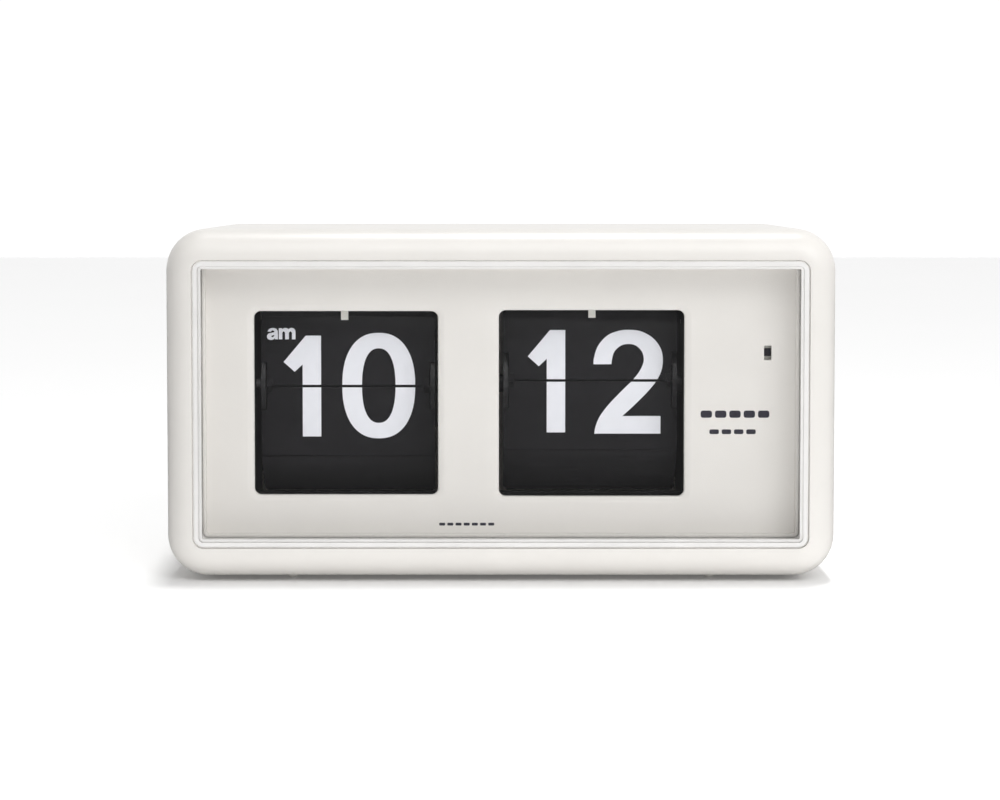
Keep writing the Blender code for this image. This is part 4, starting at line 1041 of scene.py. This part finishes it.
WORLD_SEEN = 1.05
WORLD_LOW = 0.16
WORLD_HIGH = 0.47
WORLD_LEFT = 0.25
WORLD_RIGHT = 1.35
WORLD_BEHIND = 0.9


def world():
    """White to the camera. As a light it is brighter overhead, to the right and behind the clock."""
    made = bpy.data.worlds.new("studio")
    made.use_nodes = True
    nodes = made.node_tree.nodes
    nodes.clear()
    output = nodes.new("ShaderNodeOutputWorld")
    seen = nodes.new("ShaderNodeBackground")
    seen.inputs["Color"].default_value = (1.0, 1.0, 1.0, 1.0)
    seen.inputs["Strength"].default_value = WORLD_SEEN
    light = nodes.new("ShaderNodeBackground")
    light.inputs["Color"].default_value = (1.0, 1.0, 1.0, 1.0)
    direction = nodes.new("ShaderNodeTexCoord")
    split = nodes.new("ShaderNodeSeparateXYZ")
    link(made, direction.outputs["Generated"], split.inputs["Vector"])
    upward = spread(made, split.outputs["Z"], WORLD_LOW, WORLD_HIGH, 0.0, 0.7)
    sideways = spread(made, split.outputs["X"], WORLD_LEFT, WORLD_RIGHT, -1.0, 1.0)
    behind = spread(made, split.outputs["Y"], 0.0, WORLD_BEHIND, 0.1, 0.9)
    room = calculate(made, "MULTIPLY", upward, sideways)
    link(made, calculate(made, "MAXIMUM", room, behind), light.inputs["Strength"])
    path = nodes.new("ShaderNodeLightPath")
    mix_shaders(made, path.outputs["Is Camera Ray"], light.outputs["Background"], seen.outputs["Background"],
                output)
    bpy.context.scene.world = made


def sun(name, towards, strength, angle):
    """A distant soft lamp. Towards points from the object to it."""
    data = bpy.data.lights.new(name, "SUN")
    data.energy = strength
    data.angle = math.radians(angle)
    made = bpy.data.objects.new(name, data)
    bpy.context.scene.collection.objects.link(made)
    made.rotation_euler = Vector(towards).to_track_quat("Z", "Y").to_euler()


def lamp(name, position, target, size, power, shows=True):
    """A rectangular lamp. One that doesn't show lights surfaces without its reflection in them."""
    data = bpy.data.lights.new(name, "AREA")
    data.shape = "RECTANGLE"
    data.size, data.size_y = size
    data.energy = power
    made = bpy.data.objects.new(name, data)
    bpy.context.scene.collection.objects.link(made)
    made.location = position
    made.rotation_euler = (Vector(target) - made.location).to_track_quat("-Z", "Y").to_euler()
    if not shows:
        made.visible_glossy = False
        made.visible_transmission = False
        made.visible_camera = False


def lights():
    """A soft top light, two lamps in front and above, and two weak ones that fill the shadows."""
    sun("top", (0.04, 0.06, 1.0), 1.5, 8.0)
    lamp("key", (0.80, -1.10, 0.80), (0.0, 0.0, 0.05), (0.7, 0.7), 4.4)
    lamp("front_top", (0.10, -0.85, 0.90), (0.0, 0.0, 0.05), (0.8, 0.5), 2.9)
    lamp("fill", (0.45, -1.2, 0.03), (0.0, 0.0, 0.04), (1.4, 0.25), 2.7, shows=False)
    lamp("bounce", (0.02, -0.085, 0.001), (0.02, -0.084, 0.5), (0.26, 0.07), 0.02, shows=False)


IMAGE_WIDTH = 1000
IMAGE_HEIGHT = 800
SENSOR_WIDTH = 36.0
CAMERA_PLACE = (0.0, -0.6975, 0.124)
CAMERA_TILT = 2.5
CAMERA_FOCAL = 2098.0
CAMERA_CENTRE = 278.6


def camera():
    """Focal length and centre are in pixels of the full image."""
    data = bpy.data.cameras.new("camera")
    made = bpy.data.objects.new("camera", data)
    bpy.context.scene.collection.objects.link(made)
    made.location = CAMERA_PLACE
    made.rotation_euler = (math.radians(90 - CAMERA_TILT), 0.0, 0.0)
    data.sensor_width = SENSOR_WIDTH
    data.lens = CAMERA_FOCAL * SENSOR_WIDTH / IMAGE_WIDTH
    data.shift_x = -0.0008
    data.shift_y = -(IMAGE_HEIGHT / 2 - CAMERA_CENTRE) / IMAGE_WIDTH
    data.clip_start = 0.01
    bpy.context.scene.camera = made


repaint()
case()
lens()
lens_clips()
dial()
back_cover()
battery_door()
for display in (HOUR, MINUTE):
    display.upper()
    display.lower()
    display.waiting()
    display.fallen()
hour_numbers()
minute_numbers()
dial_marks()
indicator_bands()
floor()
world()
lights()
camera()
bpy.context.scene.view_settings.view_transform = "Standard"
